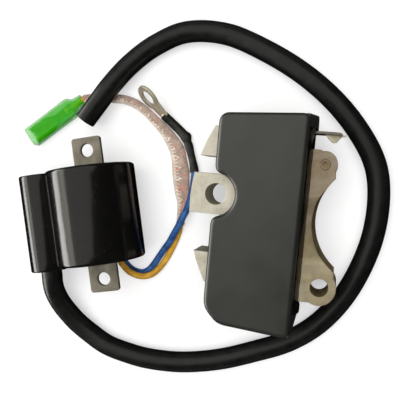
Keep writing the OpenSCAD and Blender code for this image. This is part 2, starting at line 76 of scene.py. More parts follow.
BLUE_ROUTE = [
    (0.003, -0.0156, 0.0034), (0.0031, -0.0172, 0.0031), (0.0036, -0.0189, 0.002),
    (0.0046, -0.0206, 0.0012), (0.0062, -0.0218, 0.00115), (0.0088, -0.0226, 0.00115),
    (0.0112, -0.0219, 0.00115), (0.0134, -0.0201, 0.0012), (0.0162, -0.0171, 0.0016),
    (0.0183, -0.015, 0.0023), (0.0205, -0.0129, 0.0031), (0.0227, -0.0102, 0.0038),
    (0.0249, -0.0074, 0.0041), (0.0266, -0.0049, 0.0041), (0.0281, -0.0026, 0.0035),
    (0.0296, 0.0007, 0.0024), (0.0307, 0.004, 0.0017), (0.0315, 0.0072, 0.00145),
]
SHRINK_ROUTE = [
    (0.0321, 0.01, 0.0016), (0.0321, 0.0128, 0.0016), (0.0318, 0.0157, 0.0016), (0.0314, 0.0186, 0.0016),
    (0.0309, 0.0212, 0.0016), (0.0297, 0.0235, 0.0016), (0.0282, 0.0256, 0.0017), (0.0266, 0.0276, 0.0021),
    (0.0255, 0.029, 0.0025), (0.0244, 0.0304, 0.0029),
]
# The sleeve is flattened, so its points also have the width and the height of its section
SLEEVE_ROUTE = [
    (0.0247, -0.0074, 0.0013, 0.0029, 0.0026), (0.0254, -0.0044, 0.0013, 0.0029, 0.0026),
    (0.0262, -0.0016, 0.0013, 0.0034, 0.0026), (0.0268, 0.001, 0.0013, 0.0043, 0.0026),
    (0.0269, 0.0044, 0.0013, 0.0051, 0.0026), (0.0271, 0.0079, 0.0013, 0.0056, 0.0026),
    (0.0273, 0.0113, 0.0013, 0.0057, 0.0026), (0.0273, 0.0147, 0.0013, 0.0052, 0.0026),
    (0.027, 0.0182, 0.0013, 0.005, 0.0026), (0.0255, 0.0219, 0.0013, 0.0045, 0.0026),
    (0.0235, 0.0255, 0.0013, 0.0037, 0.0026), (0.0206, 0.0294, 0.0014, 0.0032, 0.0028),
    (0.0181, 0.0326, 0.0014, 0.003, 0.0029), (0.0155, 0.0353, 0.0015, 0.003, 0.003),
    (0.013, 0.0371, 0.0015, 0.003, 0.003), (0.0102, 0.0383, 0.0015, 0.003, 0.003),
    (0.0073, 0.039, 0.0015, 0.003, 0.003), (0.0044, 0.0397, 0.0015, 0.003, 0.003),
    (0.0016, 0.0402, 0.0015, 0.003, 0.003), (-0.0014, 0.0405, 0.0017, 0.003, 0.003),
    (-0.004, 0.0405, 0.0024, 0.0029, 0.0029),
]
SOCKET_END = [(-0.0068, 0.0394, 0.0025), (-0.0113, 0.0372, 0.0025)]

LEAD_D = 0.007
YELLOW_D = 0.0022
BLUE_D = 0.0023
SHRINK_R = 0.0016

MODULE = Matrix.Translation((0.0532, -0.0085, 0)) @ Matrix.Rotation(math.radians(-12.5), 4, "Z")
# Section of the coil's case in mm: centre (x, z) and radius of the drum and of the boss
DRUM, DRUM_R = (0, 14.2), 14.5
BOSS, BOSS_R = (-21.2, 9.5), 6.7
# Left of this x the case is as long as its boss, right of it as long as its drum
BOSS_SIDE = -14.6 * MM
# Half the strap's width and half its thickness, mm
STRAP_W, STRAP_T = 5, 0.75
# The module case's open face, mm in the module's frame
CASE_X = 13.2
MOUNTS = {mount["name"]: mount for mount in frame["record"]["mounts"]}


# ---------------------------------------------------------------- mesh helpers

class Builder:
    """Collects points and faces, and turns them into one named piece."""

    def __init__(self):
        self.points = []
        self.faces = []
        self.paint = []

    def ring(self, points):
        start = len(self.points)
        self.points += [Vector(p) for p in points]
        return list(range(start, len(self.points)))

    def face(self, corners, paint=0):
        self.faces.append(corners)
        self.paint.append(paint)

    def skin(self, a, b, paint=0):
        """Four-sided faces between two rings of points."""
        for i in range(len(a)):
            j = (i + 1) % len(a)
            self.face((a[i], a[j], b[j], b[i]), paint)

    def skins(self, rows, paint=0):
        for a, b in zip(rows, rows[1:]):
            self.skin(a, b, paint)

    def solid(self, rows):
        """Skins the rows and closes both ends flat."""
        self.skins(rows)
        self.fill([rows[0]])
        self.fill([rows[-1]])

    def capped(self, rows, first, last):
        """Skins the rows and closes each end to a point."""
        self.skins(rows)
        self.fan(rows[0], first)
        self.fan(rows[-1], last)

    def fan(self, ring, centre, paint=0):
        """Closes a ring to one point."""
        top = self.ring([centre])[0]
        for i, a in enumerate(ring):
            self.face((a, ring[(i + 1) % len(ring)], top), paint)

    def fill(self, loops, paint=0):
        """Flat cap inside the first loop and outside the others."""
        index = [i for loop in loops for i in loop]
        for tri in tessellate_polygon([[self.points[i] for i in loop] for loop in loops]):
            self.face(tuple(index[k] for k in tri), paint)

    def mesh(self, name):
        data = bpy.data.meshes.new(name)
        data.from_pydata([tuple(p) for p in self.points], [], self.faces)
        data.polygons.foreach_set("material_index", self.paint)
        work = bmesh.new()
        work.from_mesh(data)
        bmesh.ops.remove_doubles(work, verts=work.verts, dist=1e-7)
        bmesh.ops.recalc_face_normals(work, faces=work.faces)
        work.to_mesh(data)
        work.free()
        return data


def piece(name, shape, body, materials, replaces=(), sharp=35):
    """Makes the object, smooth but for its sharp edges, and says what it rides on and stands for."""
    data = shape.mesh(name) if isinstance(shape, Builder) else shape
    data.shade_smooth()
    data.set_sharp_from_angle(angle=math.radians(sharp))
    for material in materials:
        data.materials.append(material)
    obj = bpy.data.objects.new(name, data)
    bpy.context.scene.collection.objects.link(obj)
    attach(obj, body)
    if replaces:
        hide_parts(*replaces)
    return obj


def spline(points, step):
    """Even cuts, step apart, along a smooth curve through the points. Extra columns are carried along."""
    p = np.array(points, float)
    p = np.vstack([2 * p[0] - p[1], p, 2 * p[-1] - p[-2]])
    fine = []
    for a, b, c, d in zip(p, p[1:], p[2:], p[3:]):
        for t in np.linspace(0, 1, 24, endpoint=False):
            bend = (2 * a - 5 * b + 4 * c - d) * t ** 2 + (3 * b - a - 3 * c + d) * t ** 3
            fine.append(0.5 * (2 * b + (c - a) * t + bend))
    fine = np.array(fine + [p[-2]])
    steps = np.linalg.norm(np.diff(fine[:, :3], axis=0), axis=1)
    run = np.concatenate([[0], np.cumsum(steps)])
    cuts = np.linspace(0, run[-1], max(2, round(run[-1] / step)) + 1)
    return np.column_stack([np.interp(cuts, run, column) for column in fine.T])


def along(path):
    """Distance along a path, and its ahead, sideways and up directions at each point."""
    p = path[:, :3]
    run = np.concatenate([[0], np.cumsum(np.linalg.norm(np.diff(p, axis=0), axis=1))])
    ahead = np.gradient(p, axis=0)
    ahead /= np.linalg.norm(ahead, axis=1)[:, None]
    side = np.column_stack([-ahead[:, 1], ahead[:, 0], np.zeros(len(p))])
    side /= np.linalg.norm(side, axis=1)[:, None]
    return run, ahead, side, np.cross(ahead, side)


def tube_rows(shape, path, radius, sides):
    """Rings of a tube; radius(distance, angle) gives the half width and half height there."""
    run, _, side, up = along(path)
    rows = []
    for i, p in enumerate(path[:, :3]):
        ring = []
        for k in range(sides):
            a = TAU * k / sides
            w, h = radius(run[i], a)
            ring.append(p + side[i] * w * math.cos(a) + up[i] * h * math.sin(a))
        rows.append(shape.ring(ring))
    shape.skins(rows)
    return rows


def hoop(centre, side, up, half_w, half_h, count):
    """Ellipse of points round a centre, across its side and up directions."""
    return [centre + side * half_w * math.cos(a) + up * half_h * math.sin(a)
            for a in (TAU * k / count for k in range(count))]


def hump(x, at, width):
    """1 at that place, and smoothly down to 0 on both sides of it."""
    return math.exp(-((x - at) / width) ** 2)


def arc(centre, r, start, end, count):
    """Points of a flat arc, angles in degrees."""
    turns = (math.radians(start + (end - start) * i / count) for i in range(count + 1))
    return [(centre[0] + r * math.cos(a), centre[1] + r * math.sin(a)) for a in turns]


def circle(centre, r, count=48):
    return np.array(arc(centre, r, 0, 360, count)[:-1])


def shift(loop, amount):
    """Moves a closed loop to its left by amount, which is one number or one for each edge i to i + 1."""
    p = np.array(loop, float)
    n = len(p)
    d = np.broadcast_to(np.asarray(amount, float), n)
    edge = np.roll(p, -1, axis=0) - p
    edge /= np.linalg.norm(edge, axis=1)[:, None]
    left = np.column_stack([-edge[:, 1], edge[:, 0]])
    moved = np.empty_like(p)
    for i in range(n):
        a, b = left[i - 1], left[i]
        cross = a[0] * b[1] - a[1] * b[0]
        if abs(cross) < 0.03:
            mean = (a + b) / np.linalg.norm(a + b)
            moved[i] = p[i] + mean * (d[i - 1] + d[i]) / 2
        else:
            moved[i] = p[i] + np.linalg.solve(np.array([a, b]), [d[i - 1], d[i]])
    return moved


def even(loop, step):
    """The closed loop cut at about even steps, with its corners kept."""
    p = np.array(loop, float)
    cut = []
    for a, b in zip(p, np.roll(p, -1, axis=0)):
        count = max(1, round(np.linalg.norm(b - a) / step))
        cut += [a + (b - a) * k / count for k in range(count)]
    return np.array(cut)


def cad_loops(node, place=Matrix.Identity(4)):
    """Outline, then holes, of a CAD node's top face, in the frame of place. Material is on their left."""
    data = frame["nodes"][node].data
    inverse = place.inverted()
    co = [inverse @ v.co for v in data.vertices]
    key = [tuple(round(c * 1e6) for c in p) for p in co]
    turn = inverse.to_3x3()
    top = max(p.z for p in co)
    directed = {}
    for face in data.polygons:
        at = [key[i] for i in face.vertices]
        if (turn @ face.normal).z > 0.999 and all(abs(co[i].z - top) < 1e-5 for i in face.vertices):
            for a, b in zip(at, at[1:] + at[:1]):
                directed.setdefault(a, []).append(b)
    open_edges = {a: [b for b in ends if a not in directed.get(b, [])] for a, ends in directed.items()}
    follow = {a: ends[0] for a, ends in open_edges.items() if ends}
    loops = []
    while follow:
        start = next(iter(follow))
        loop = [start]
        while loop[-1] in follow:
            loop.append(follow.pop(loop[-1]))
        loops.append(np.array(loop[:-1])[:, :2] * 1e-6)
    loops.sort(key=lambda q: -np.linalg.norm(np.ptp(q, axis=0)))
    return loops


def rounded(low, high, edge):
    """(height, inset) pairs of a wall with rounded top and bottom edges."""
    bend = [(edge * (1 - math.sin(t)), edge * (1 - math.cos(t))) for t in (math.pi / 6 * k for k in range(4))]
    return [(low + z, inset) for inset, z in bend] + [(high - z, inset) for inset, z in reversed(bend)]


def wall(shape, loop, profile, place=Matrix.Identity(4), paint=0):
    """Rows of points that follow a loop up a profile of (height, inset) pairs."""
    rows = []
    for z, inset in profile:
        rows.append(shape.ring([place @ Vector((x, y, z)) for x, y in shift(loop, inset)]))
    shape.skins(rows, paint=paint)
    return rows


def plate(shape, loops, low, high, edges, place=Matrix.Identity(4), paint=0):
    """Solid plate with holes; edges gives each loop's edge radius."""
    walls = [wall(shape, loop, rounded(low, high, edge), place, paint=paint)
             for loop, edge in zip(loops, edges)]
    shape.fill([rows[0] for rows in walls], paint)
    shape.fill([rows[-1] for rows in walls], paint)


def wobble(point, size, seed=0.0):
    """Smooth noise from about -1 to 1 with lumps of that size."""
    p = Vector(point) / size
    return noise.noise(Vector((p.x + seed, p.y - seed, p.z + 2 * seed)))


# ---------------------------------------------------------------- materials

def srgb(r, g, b):
    """Shader colour from display values of 0 to 255."""
    def linear(c):
        c /= 255
        return c / 12.92 if c <= 0.04045 else ((c + 0.055) / 1.055) ** 2.4
    return (linear(r), linear(g), linear(b), 1.0)


class Paint:
    """One procedural material, built on the object's own coordinates in metres."""

    def __init__(self, name, **fixed):
        self.material = bpy.data.materials.new(name)
        self.material.use_nodes = True
        self.nodes = self.material.node_tree.nodes
        self.links = self.material.node_tree.links
        self.shader = self.nodes["Principled BSDF"]
        self.place = self.nodes.new("ShaderNodeTexCoord").outputs["Object"]
        self.height = None
        for socket, value in fixed.items():
            self.shader.inputs[socket.replace("_", " ")].default_value = value

    def add(self, kind, inputs, **settings):
        node = self.nodes.new("ShaderNode" + kind)
        for name, value in settings.items():
            setattr(node, name, value)
        for name, value in inputs.items():
            if isinstance(value, bpy.types.NodeSocket):
                self.links.new(value, node.inputs[name])
            else:
                node.inputs[name].default_value = value
        return node

    def spread(self, size, turn=0.0):
        """Coordinates in which a lump of size mm (or one size for each axis, turned about Z) is 1."""
        sizes = (size, size, size) if isinstance(size, (int, float)) else size
        scale = tuple(c * MM for c in sizes)
        inputs = {"Vector": self.place, "Rotation": (0, 0, math.radians(turn)), "Scale": scale}
        return self.add("Mapping", inputs, vector_type="TEXTURE").outputs[0]

    def noise(self, size, detail=3.0, rough=0.55, turn=0.0):
        inputs = {"Vector": self.spread(size, turn), "Scale": 1.0, "Detail": detail, "Roughness": rough}
        return self.add("TexNoise", inputs).outputs["Fac"]

    def cells(self, size):
        inputs = {"Vector": self.spread(size), "Scale": 1.0}
        return self.add("TexVoronoi", inputs).outputs["Distance"]

    def fit(self, value, low, high, to_low=0.0, to_high=1.0):
        inputs = {"Value": value, "From Min": low, "From Max": high, "To Min": to_low, "To Max": to_high}
        return self.add("MapRange", inputs).outputs["Result"]

    def math(self, operation, a, b):
        return self.add("Math", {0: a, 1: b}, operation=operation).outputs[0]

    def times(self, a, b):
        return self.math("MULTIPLY", a, b)

    def sum(self, a, b, *limits):
        """Two patterns added up, then fitted."""
        return self.fit(self.math("ADD", a, b), *limits)

    def mix(self, factor, a, b):
        """Each colour is a socket or three display values."""
        a, b = (srgb(*c) if isinstance(c, tuple) else c for c in (a, b))
        return self.add("Mix", {0: factor, 6: a, 7: b}, data_type="RGBA").outputs[2]

    def edge(self, low=0.52, high=0.6):
        """1 on worn outer edges."""
        return self.fit(self.nodes.new("ShaderNodeNewGeometry").outputs["Pointiness"], low, high)

    def bump(self, height, depth):
        """Relief that deep in mm, on top of what is there."""
        inputs = {"Height": height, "Strength": 1.0, "Distance": depth * MM}
        if self.height:
            inputs["Normal"] = self.height
        self.height = self.add("Bump", inputs).outputs[0]

    def finish(self, colour, rough):
        self.links.new(colour, self.shader.inputs["Base Color"])
        self.links.new(rough, self.shader.inputs["Roughness"])
        if self.height:
            self.links.new(self.height, self.shader.inputs["Normal"])
        return self.material


def plain_finish(name, light, dark, rough, grain, depth, patch=4, **fixed):
    """Two tones in soft patches, a fine grain in the surface and uneven gloss."""
    p = Paint(name, **fixed)
    patches = p.noise(patch, 4)
    fine = p.noise(grain, 2)
    p.bump(fine, depth)
    tone = p.mix(p.fit(patches, 0.35, 0.68), dark, light)
    return p.finish(tone, p.sum(patches, fine, 0.6, 1.4, *rough))


def brushed_metal(name, light, dark, rough, turn, metallic):
    """Rolled sheet: fine lines one way, cloudy tone, dull scuffs and bright worn edges."""
    p = Paint(name, Metallic=metallic)
    strokes = p.noise((9, 0.1, 0.5), 3, 0.65, turn)
    clouds = p.noise(3.5, 5)
    scuffs = p.fit(p.noise((1.6, 0.5, 1), 4, 0.6, turn + 35), 0.6, 0.72)
    p.bump(strokes, 0.006)
    p.bump(clouds, 0.02)
    tone = p.mix(p.sum(strokes, clouds, 0.72, 1.28), dark, light)
    tone = p.mix(p.times(scuffs, 0.35), tone, dark)
    tone = p.mix(p.times(p.edge(), 0.5), tone, light)
    return p.finish(tone, p.sum(clouds, scuffs, 0.4, 1.5, *rough))


def coil_plastic():
    """Glossy black moulding with a slow wave, hairline scratches and pale specks of dust."""
    p = Paint("coil_case", Specular_IOR_Level=0.5)
    wave = p.noise((5, 16, 5), 2)
    scratch = p.fit(p.noise((0.12, 5, 0.3), 2, 0.5, 28), 0.7, 0.76)
    rub = p.fit(p.noise((0.25, 2.2, 0.25), 3, 0.5, -8), 0.66, 0.8)
    specks = p.fit(p.cells(1.1), 0.1, 0.06)
    sparse = p.fit(p.noise(4, 3), 0.55, 0.62)
    specks = p.times(specks, sparse)
    marks = p.math("MAXIMUM", p.times(scratch, 0.5), specks)
    p.bump(wave, 0.1)
    p.bump(marks, 0.004)
    tone = p.mix(p.noise(6, 4), (9, 9, 9), (20, 19, 18))
    tone = p.mix(p.times(marks, 0.35), tone, (120, 118, 110))
    return p.finish(tone, p.sum(rub, p.times(marks, 2.0), 0, 1.6, 0.16, 0.36))


def case_plastic():
    """Dark grey moulding with a fine spark-eroded grain, cloudy gloss and rubbed edges."""
    p = Paint("module_case", Specular_IOR_Level=0.95)
    grain = p.noise(0.16, 2)
    clouds = p.noise(9, 5)
    scuff = p.fit(p.noise((2.5, 0.35, 1), 3, 0.5, 62), 0.68, 0.76)
    p.bump(grain, 0.007)
    p.bump(clouds, 0.06)
    tone = p.mix(p.fit(clouds, 0.3, 0.7), (27, 29, 26), (36, 38, 34))
    tone = p.mix(p.times(scuff, 0.25), tone, (66, 66, 62))
    tone = p.mix(p.times(p.edge(0.51, 0.56), 0.25), tone, (58, 58, 55))
    return p.finish(tone, p.sum(clouds, scuff, 0.3, 1.3, 0.34, 0.55))


def rubber():
    """Extruded rubber jacket: lengthwise drawing lines too fine to count, dull film and rubbed patches."""
    p = Paint("lead_rubber", Specular_IOR_Level=0.45)
    film = p.noise(3, 5)
    pores = p.noise(0.14, 2)
    rubbed = p.fit(p.noise((2.2, 0.7, 1), 4, 0.6, 30), 0.6, 0.75)
    p.bump(pores, 0.006)
    p.bump(film, 0.03)
    tone = p.mix(p.fit(film, 0.35, 0.7), (12, 13, 12), (21, 22, 21))
    tone = p.mix(p.times(rubbed, 0.3), tone, (48, 49, 46))
    return p.finish(tone, p.sum(film, rubbed, 0.3, 1.4, 0.3, 0.55))


def resin():
    """Poured black resin: glossy, slightly wavy, with small pits."""
    p = Paint("resin", Specular_IOR_Level=0.5)
    flow = p.noise(2.4, 3)
    pits = p.fit(p.cells(1.6), 0.16, 0.04)
    p.bump(flow, 0.12)
    p.bump(pits, -0.05)
    tone = p.mix(p.fit(flow, 0.35, 0.7), (7, 7, 7), (26, 21, 19))
    return p.finish(tone, p.fit(flow, 0.3, 0.7, 0.06, 0.2))


def core_steel():
    """Plated lamination stack: cream where bare and brushed, with a brown varnish film towards the lobes."""
    p = Paint("core_steel", Metallic=0.5, Specular_IOR_Level=0.5)
    strokes = p.noise((0.09, 12, 4), 3, 0.6, -12.5)
    clouds = p.noise(3, 5)
    stain = p.fit(p.noise(1.3, 4), 0.6, 0.74)
    apart = p.add("SeparateXYZ", {0: p.place})
    film = p.sum(apart.outputs[0], p.times(clouds, 4 * MM), 62 * MM, 67 * MM)
    lower = p.sum(apart.outputs[1], p.times(clouds, 8 * MM), 2 * MM, -18 * MM)
    p.bump(strokes, 0.005)
    p.bump(clouds, 0.015)
    bare = p.mix(p.sum(strokes, clouds, 0.75, 1.25), (172, 167, 148), (202, 198, 182))
    brown = p.mix(p.fit(clouds, 0.35, 0.7), (104, 87, 58), (132, 112, 80))
    yellow = p.mix(p.fit(clouds, 0.35, 0.7), (132, 117, 80), (162, 147, 108))
    tone = p.mix(film, bare, p.mix(lower, brown, yellow))
    tone = p.mix(p.times(stain, 0.35), tone, (112, 98, 76))
    tone = p.mix(p.times(p.edge(0.52, 0.62), 0.5), tone, (226, 222, 210))
    return p.finish(tone, p.sum(clouds, stain, 0.3, 1.5, 0.34, 0.6))


def braid_paint(name, light, dark, fleck, share):
    """Glass yarn: fine fibres, varnished sheen, and coloured flecks where the tracer shows."""
    p = Paint(name, Sheen_Weight=0.3, Specular_IOR_Level=0.5)
    fibres = p.noise((0.08, 0.6, 0.3), 3, 0.6, 20)
    soil = p.noise(2.2, 4)
    patch = p.fit(p.noise(3.2, 2), share, share + 0.06)
    p.bump(fibres, 0.03)
    tone = p.mix(p.sum(fibres, soil, 0.75, 1.25), dark, light)
    tone = p.mix(patch, tone, fleck)
    return p.finish(tone, p.fit(soil, 0.3, 0.7, 0.3, 0.55))


def soft_green():
    """Clear green vinyl, a little cloudy, with fine flow lines and a wet shine."""
    p = Paint("green_pvc", Alpha=0.45, Specular_IOR_Level=0.4, Coat_Weight=0.5, Coat_Roughness=0.08)
    cloud = p.noise(2.5, 3)
    flow = p.noise((4, 0.5, 0.8), 3, 0.6, 26.2)
    p.bump(flow, 0.012)
    p.bump(cloud, 0.03)
    tone = p.mix(p.fit(cloud, 0.3, 0.7), (28, 190, 0), (72, 206, 8))
    return p.finish(tone, p.fit(flow, 0.3, 0.7, 0.08, 0.2))


def shrink_paint():
    """Shrink tube: olive black, satin, with tight wrinkles."""
    p = Paint("shrink_tube", Specular_IOR_Level=0.5)
    wrinkle = p.noise((1.2, 0.35, 0.6), 4, 0.6, -20)
    film = p.noise(2, 4)
    p.bump(wrinkle, 0.05)
    tone = p.mix(p.fit(film, 0.35, 0.68), (19, 20, 17), (36, 35, 29))
    return p.finish(tone, p.sum(wrinkle, film, 0.7, 1.3, 0.22, 0.5))


def wound_wire():
    """Enamelled copper wire laid side by side."""
    p = Paint("copper_wire", Metallic=0.7)
    turns = p.noise((0.12, 6, 6), 1)
    tone = p.mix(p.noise(2, 3), (150, 70, 28), (205, 120, 62))
    p.bump(turns, 0.06)
    return p.finish(tone, p.fit(turns, 0.3, 0.7, 0.2, 0.4))


def all_materials():
    """One material for each slot of the record, and two extra: the braid's tracer, and a darker copy of the
    braid that is painted shade for the sleeve's shaded side.
    """
    cream, wax = (236, 226, 214), (196, 176, 158)
    paints = {
        "coil_case": coil_plastic(),
        "copper_wire": wound_wire(),
        "resin": resin(),
        "lead_rubber": rubber(),
        "shrink_tube": shrink_paint(),
        "green_pvc": soft_green(),
        "core_steel": core_steel(),
        "module_case": case_plastic(),
        "glass_braid": braid_paint("glass_braid", cream, wax, (214, 178, 160), 0.62),
        "tracer": braid_paint("tracer_yarn", cream, wax, (196, 112, 92), 0.5),
        # A darker copy of the braid: painted shade for the side of the sleeve away from the light.
        "braid_painted_shade": braid_paint("braid_painted_shade", (190, 168, 152), (132, 110, 98), (186, 140, 126), 0.58),
        "bobbin_pale": plain_finish("bobbin_pale", (226, 218, 196), (206, 196, 170), (0.35, 0.55), 0.2, 0.01,
                                    Subsurface_Weight=0.05),
    }
    for name, *look in (("strap_steel", (130, 125, 112), (98, 93, 81), (0.36, 0.6), 90, 0.5),
                        ("sheet_steel", (165, 162, 156), (120, 116, 110), (0.3, 0.5), 90, 0.85),
                        ("tin", (206, 198, 176), (164, 154, 130), (0.32, 0.55), -56, 0.4),
                        # The brass colours are far darker than bare brass: its own tone, darkened with
                        # painted shade for the spade lying under the green cover.
                        ("brass", (76, 40, 14), (40, 20, 6), (0.35, 0.55), 26, 0.6)):
        paints[name] = brushed_metal(name, *look)
    for name, *look in (("bobbin_dark", (72, 70, 66), (48, 47, 45), (0.35, 0.6), 0.2, 0.01),
                        ("yellow_tape", (222, 186, 74), (200, 160, 52), (0.15, 0.35), 0.3, 0.02),
                        ("yellow_pvc", (218, 168, 52), (180, 132, 36), (0.28, 0.5), 0.25, 0.012, 2),
                        ("blue_pvc", (48, 100, 164), (26, 62, 112), (0.28, 0.5), 0.25, 0.012, 2),
                        ("board", (58, 116, 62), (38, 88, 46), (0.3, 0.5), 0.3, 0.02),
                        ("film_capacitor", (196, 132, 44), (170, 104, 30), (0.2, 0.4), 0.5, 0.04),
                        ("part_black", (40, 40, 40), (26, 26, 26), (0.35, 0.55), 0.15, 0.01),
                        ("part_tan", (206, 182, 136), (180, 152, 108), (0.35, 0.55), 0.3, 0.02)):
        paints[name] = plain_finish(name, *look)
    return paints


# ---------------------------------------------------------------- camera, floor and lights

def aim(obj, target, up=Vector((0, 0, 1))):
    """Points an object's -Z at the target with its Y towards up."""
    ahead = (Vector(target) - obj.location).normalized()
    right = ahead.cross(up).normalized()
    obj.rotation_euler = Matrix((right, right.cross(ahead), -ahead)).transposed().to_euler()


def make_camera():
    """From nearly straight above the set, rolled a little clockwise."""
    data = bpy.data.cameras.new("camera")
    data.lens = 45.86
    data.sensor_width = 36
    data.clip_start = 0.01
    obj = bpy.data.objects.new("camera", data)
    bpy.context.scene.collection.objects.link(obj)
    obj.location = (0.0731, 0.0019, 0.18)
    roll = math.radians(7.36)
    aim(obj, (0.0355, -0.0036, 0), Vector((math.sin(roll), math.cos(roll), 0)))
    bpy.context.scene.camera = obj


def lamp(name, at, target, size, power, gloss=True, diffuse=True, colour=(1, 1, 1), up=Vector((0, 1, 0))):
    """Rectangular studio light, never seen directly; gloss and diffuse say which rays it lights."""
    data = bpy.data.lights.new(name, "AREA")
    data.shape = "RECTANGLE"
    data.size, data.size_y = size
    data.energy = power
    data.color = colour
    obj = bpy.data.objects.new(name, data)
    bpy.context.scene.collection.objects.link(obj)
    obj.location = at
    aim(obj, target, up)
    obj.visible_camera = False
    obj.visible_glossy = gloss
    obj.visible_diffuse = diffuse


def make_lights():
    """Soft light from overhead for the shadows, and cards that only show as reflections."""
    upright = Vector((0, 0, 1))
    lamp("overhead", (0.06, 0.03, 1.1), (0.03, 0, 0), (1.3, 1.3), 15, gloss=False)
    lamp("ceiling_card", (-0.46, 0.46, 1.0), (-0.46, 0.46, 0), (2.2, 1.5), 8.3,
         up=Vector((-0.478, 0.878, 0)), colour=(1, 0.96, 0.9))
    lamp("window_card", (-1.0, 0.1, 0.25), (0, 0, 0.02), (1.4, 0.36), 12, diffuse=False, up=upright,
         colour=(1, 0.99, 0.96))
    lamp("olive_card", (-1.0, 0.1, 0.7), (0, 0, 0.02), (1.5, 0.38), 4.6, diffuse=False, up=upright,
         colour=(1, 0.98, 0.86))
    for name, x, y in (("back", 0, 1.3), ("front", 0, -1.3)):
        lamp(name + "_low_card", (x, y, 0.1), (0, 0, 0.02), (2.2, 0.16), 0.7, diffuse=False, up=upright)
    world = bpy.data.worlds.new("studio")
    bpy.context.scene.world = world
    world.use_nodes = True
    world.node_tree.nodes["Background"].inputs[0].default_value = (0.95, 0.96, 1, 1)
    world.node_tree.nodes["Background"].inputs[1].default_value = 0.9
    world.cycles_visibility.glossy = False
    world.cycles_visibility.diffuse = False
    bpy.context.scene.view_settings.view_transform = "Standard"


def make_floor():
    """Plain pale board, just under the set."""
    shape = Builder()
    half = 3.0
    drop = -0.02 * MM
    corners = shape.ring([(-half, -half, drop), (half, -half, drop), (half, half, drop), (-half, half, drop)])
    shape.face(tuple(corners))
    glow = srgb(250, 250, 252)
    p = Paint("floor_paint", Specular_IOR_Level=0.1, Emission_Color=glow, Emission_Strength=0.5)
    tone = p.mix(p.noise(40, 3), (190, 190, 189), (198, 198, 197))
    material = p.finish(tone, p.fit(p.noise(5, 2), 0, 1, 0.85, 1.0))
    data = shape.mesh("floor")
    data.materials.append(material)
    floor = bpy.data.objects.new("floor", data)
    bpy.context.scene.collection.objects.link(floor)
    floor.visible_glossy = False


# ---------------------------------------------------------------- coil: lead and wires

def ht_lead():
    """Rubber lead: a satin tube with a square cut end that shows its inner layer."""
    shape = Builder()
    path = spline(LEAD_ROUTE, 0.9 * MM)
    r, sides = LEAD_D / 2, 40

    def radius(s, a):
        grow = 1 + 0.004 * wobble((s, math.cos(a) * 2 * MM, math.sin(a) * 2 * MM), 3 * MM)
        return r * grow, r * min(grow, 1.0)

    rows = tube_rows(shape, path, radius, sides)
    _, ahead, side, up = along(path)
    end, out = path[-1, :3], ahead[-1]
    shape.fan(rows[0], path[0, :3])
    levels = [(0.965, 0.1), (0.9, 0.14), (0.62, 0.12), (0.6, 0.02), (0.57, 0.0), (0.3, 0.03)]
    last = rows[-1]
    for k, (share, proud) in enumerate(levels):
        ring = []
        for i in range(sides):
            a = TAU * i / sides
            rough = 0.05 * wobble((math.cos(a) * r, math.sin(a) * r, share * r), 1.1 * MM, 3)
            spot = end + out * (proud + rough) * MM
            ring.append(spot + (side[-1] * math.cos(a) + up[-1] * math.sin(a)) * r * share)
        ring = shape.ring(ring)
        shape.skin(last, ring, paint=0 if k < 3 else 1)
        last = ring
    shape.fan(last, end + out * 0.03 * MM, 1)
    lead = piece("ht_lead_jacket", shape, "coil",
                 [PAINT["lead_rubber"], PAINT["bobbin_dark"]], ["ht_lead"])
    return lead, path


def lead_strands():
    """Seven copper strands at the lead's cut end, each cut at its own length."""
    shape = Builder()
    path = spline(LEAD_ROUTE, 0.9 * MM)
    _, ahead, side, up = along(path)
    end, out = Vector(path[-1, :3]), Vector(ahead[-1])
    side, up = Vector(side[-1]), Vector(up[-1])
    rng = random.Random(5)
    pitch, buried, thin = 0.56, 0.9, 0.27
    spots = [(0, 0)] + [(pitch * math.cos(TAU * k / 6), pitch * math.sin(TAU * k / 6)) for k in range(6)]
    for x, y in spots:
        proud = rng.uniform(0.16, 0.34)
        rows = []
        middle = end + (side * x + up * y) * MM
        for depth, r in ((-buried, thin), (proud - 0.04, thin), (proud, 0.23)):
            rows.append(shape.ring(hoop(middle + out * depth * MM, side, up, r * MM, r * MM, 12)))
        shape.capped(rows, middle - out * buried * MM, middle + out * (proud + 0.03) * MM)
    return piece("lead_strands", shape, "coil", [PAINT["copper_wire"]], ["lead_conductor"])


def wire(name, route, diameter, slot, node, seed):
    """Vinyl wire, very slightly uneven as extruded vinyl is."""
    shape = Builder()
    path = spline(route, 0.5 * MM)

    def radius(s, a):
        r = diameter / 2 * (1 + 0.012 * wobble((s, 0, seed), 2.5 * MM))
        return r, r

    rows = tube_rows(shape, path, radius, 24)
    for row, at, other in ((rows[0], path[0, :3], path[1, :3]), (rows[-1], path[-1, :3], path[-2, :3])):
        shape.fan(row, Vector(at) + Vector(at - other).normalized() * 0.1 * MM)
    return piece(name, shape, "coil", [PAINT[slot]], [node]), path


def sleeve_section(path):
    """Half width and half height of the sleeve at each cut, uneven as a limp braid lies."""
    run = along(path)[0]
    fuller = 1.06
    loose = np.array([1 + 0.035 * wobble((s, 0, 0), 4 * MM, 7) for s in run])
    return path[:, 3] / 2 * loose * fuller, path[:, 4] / 2


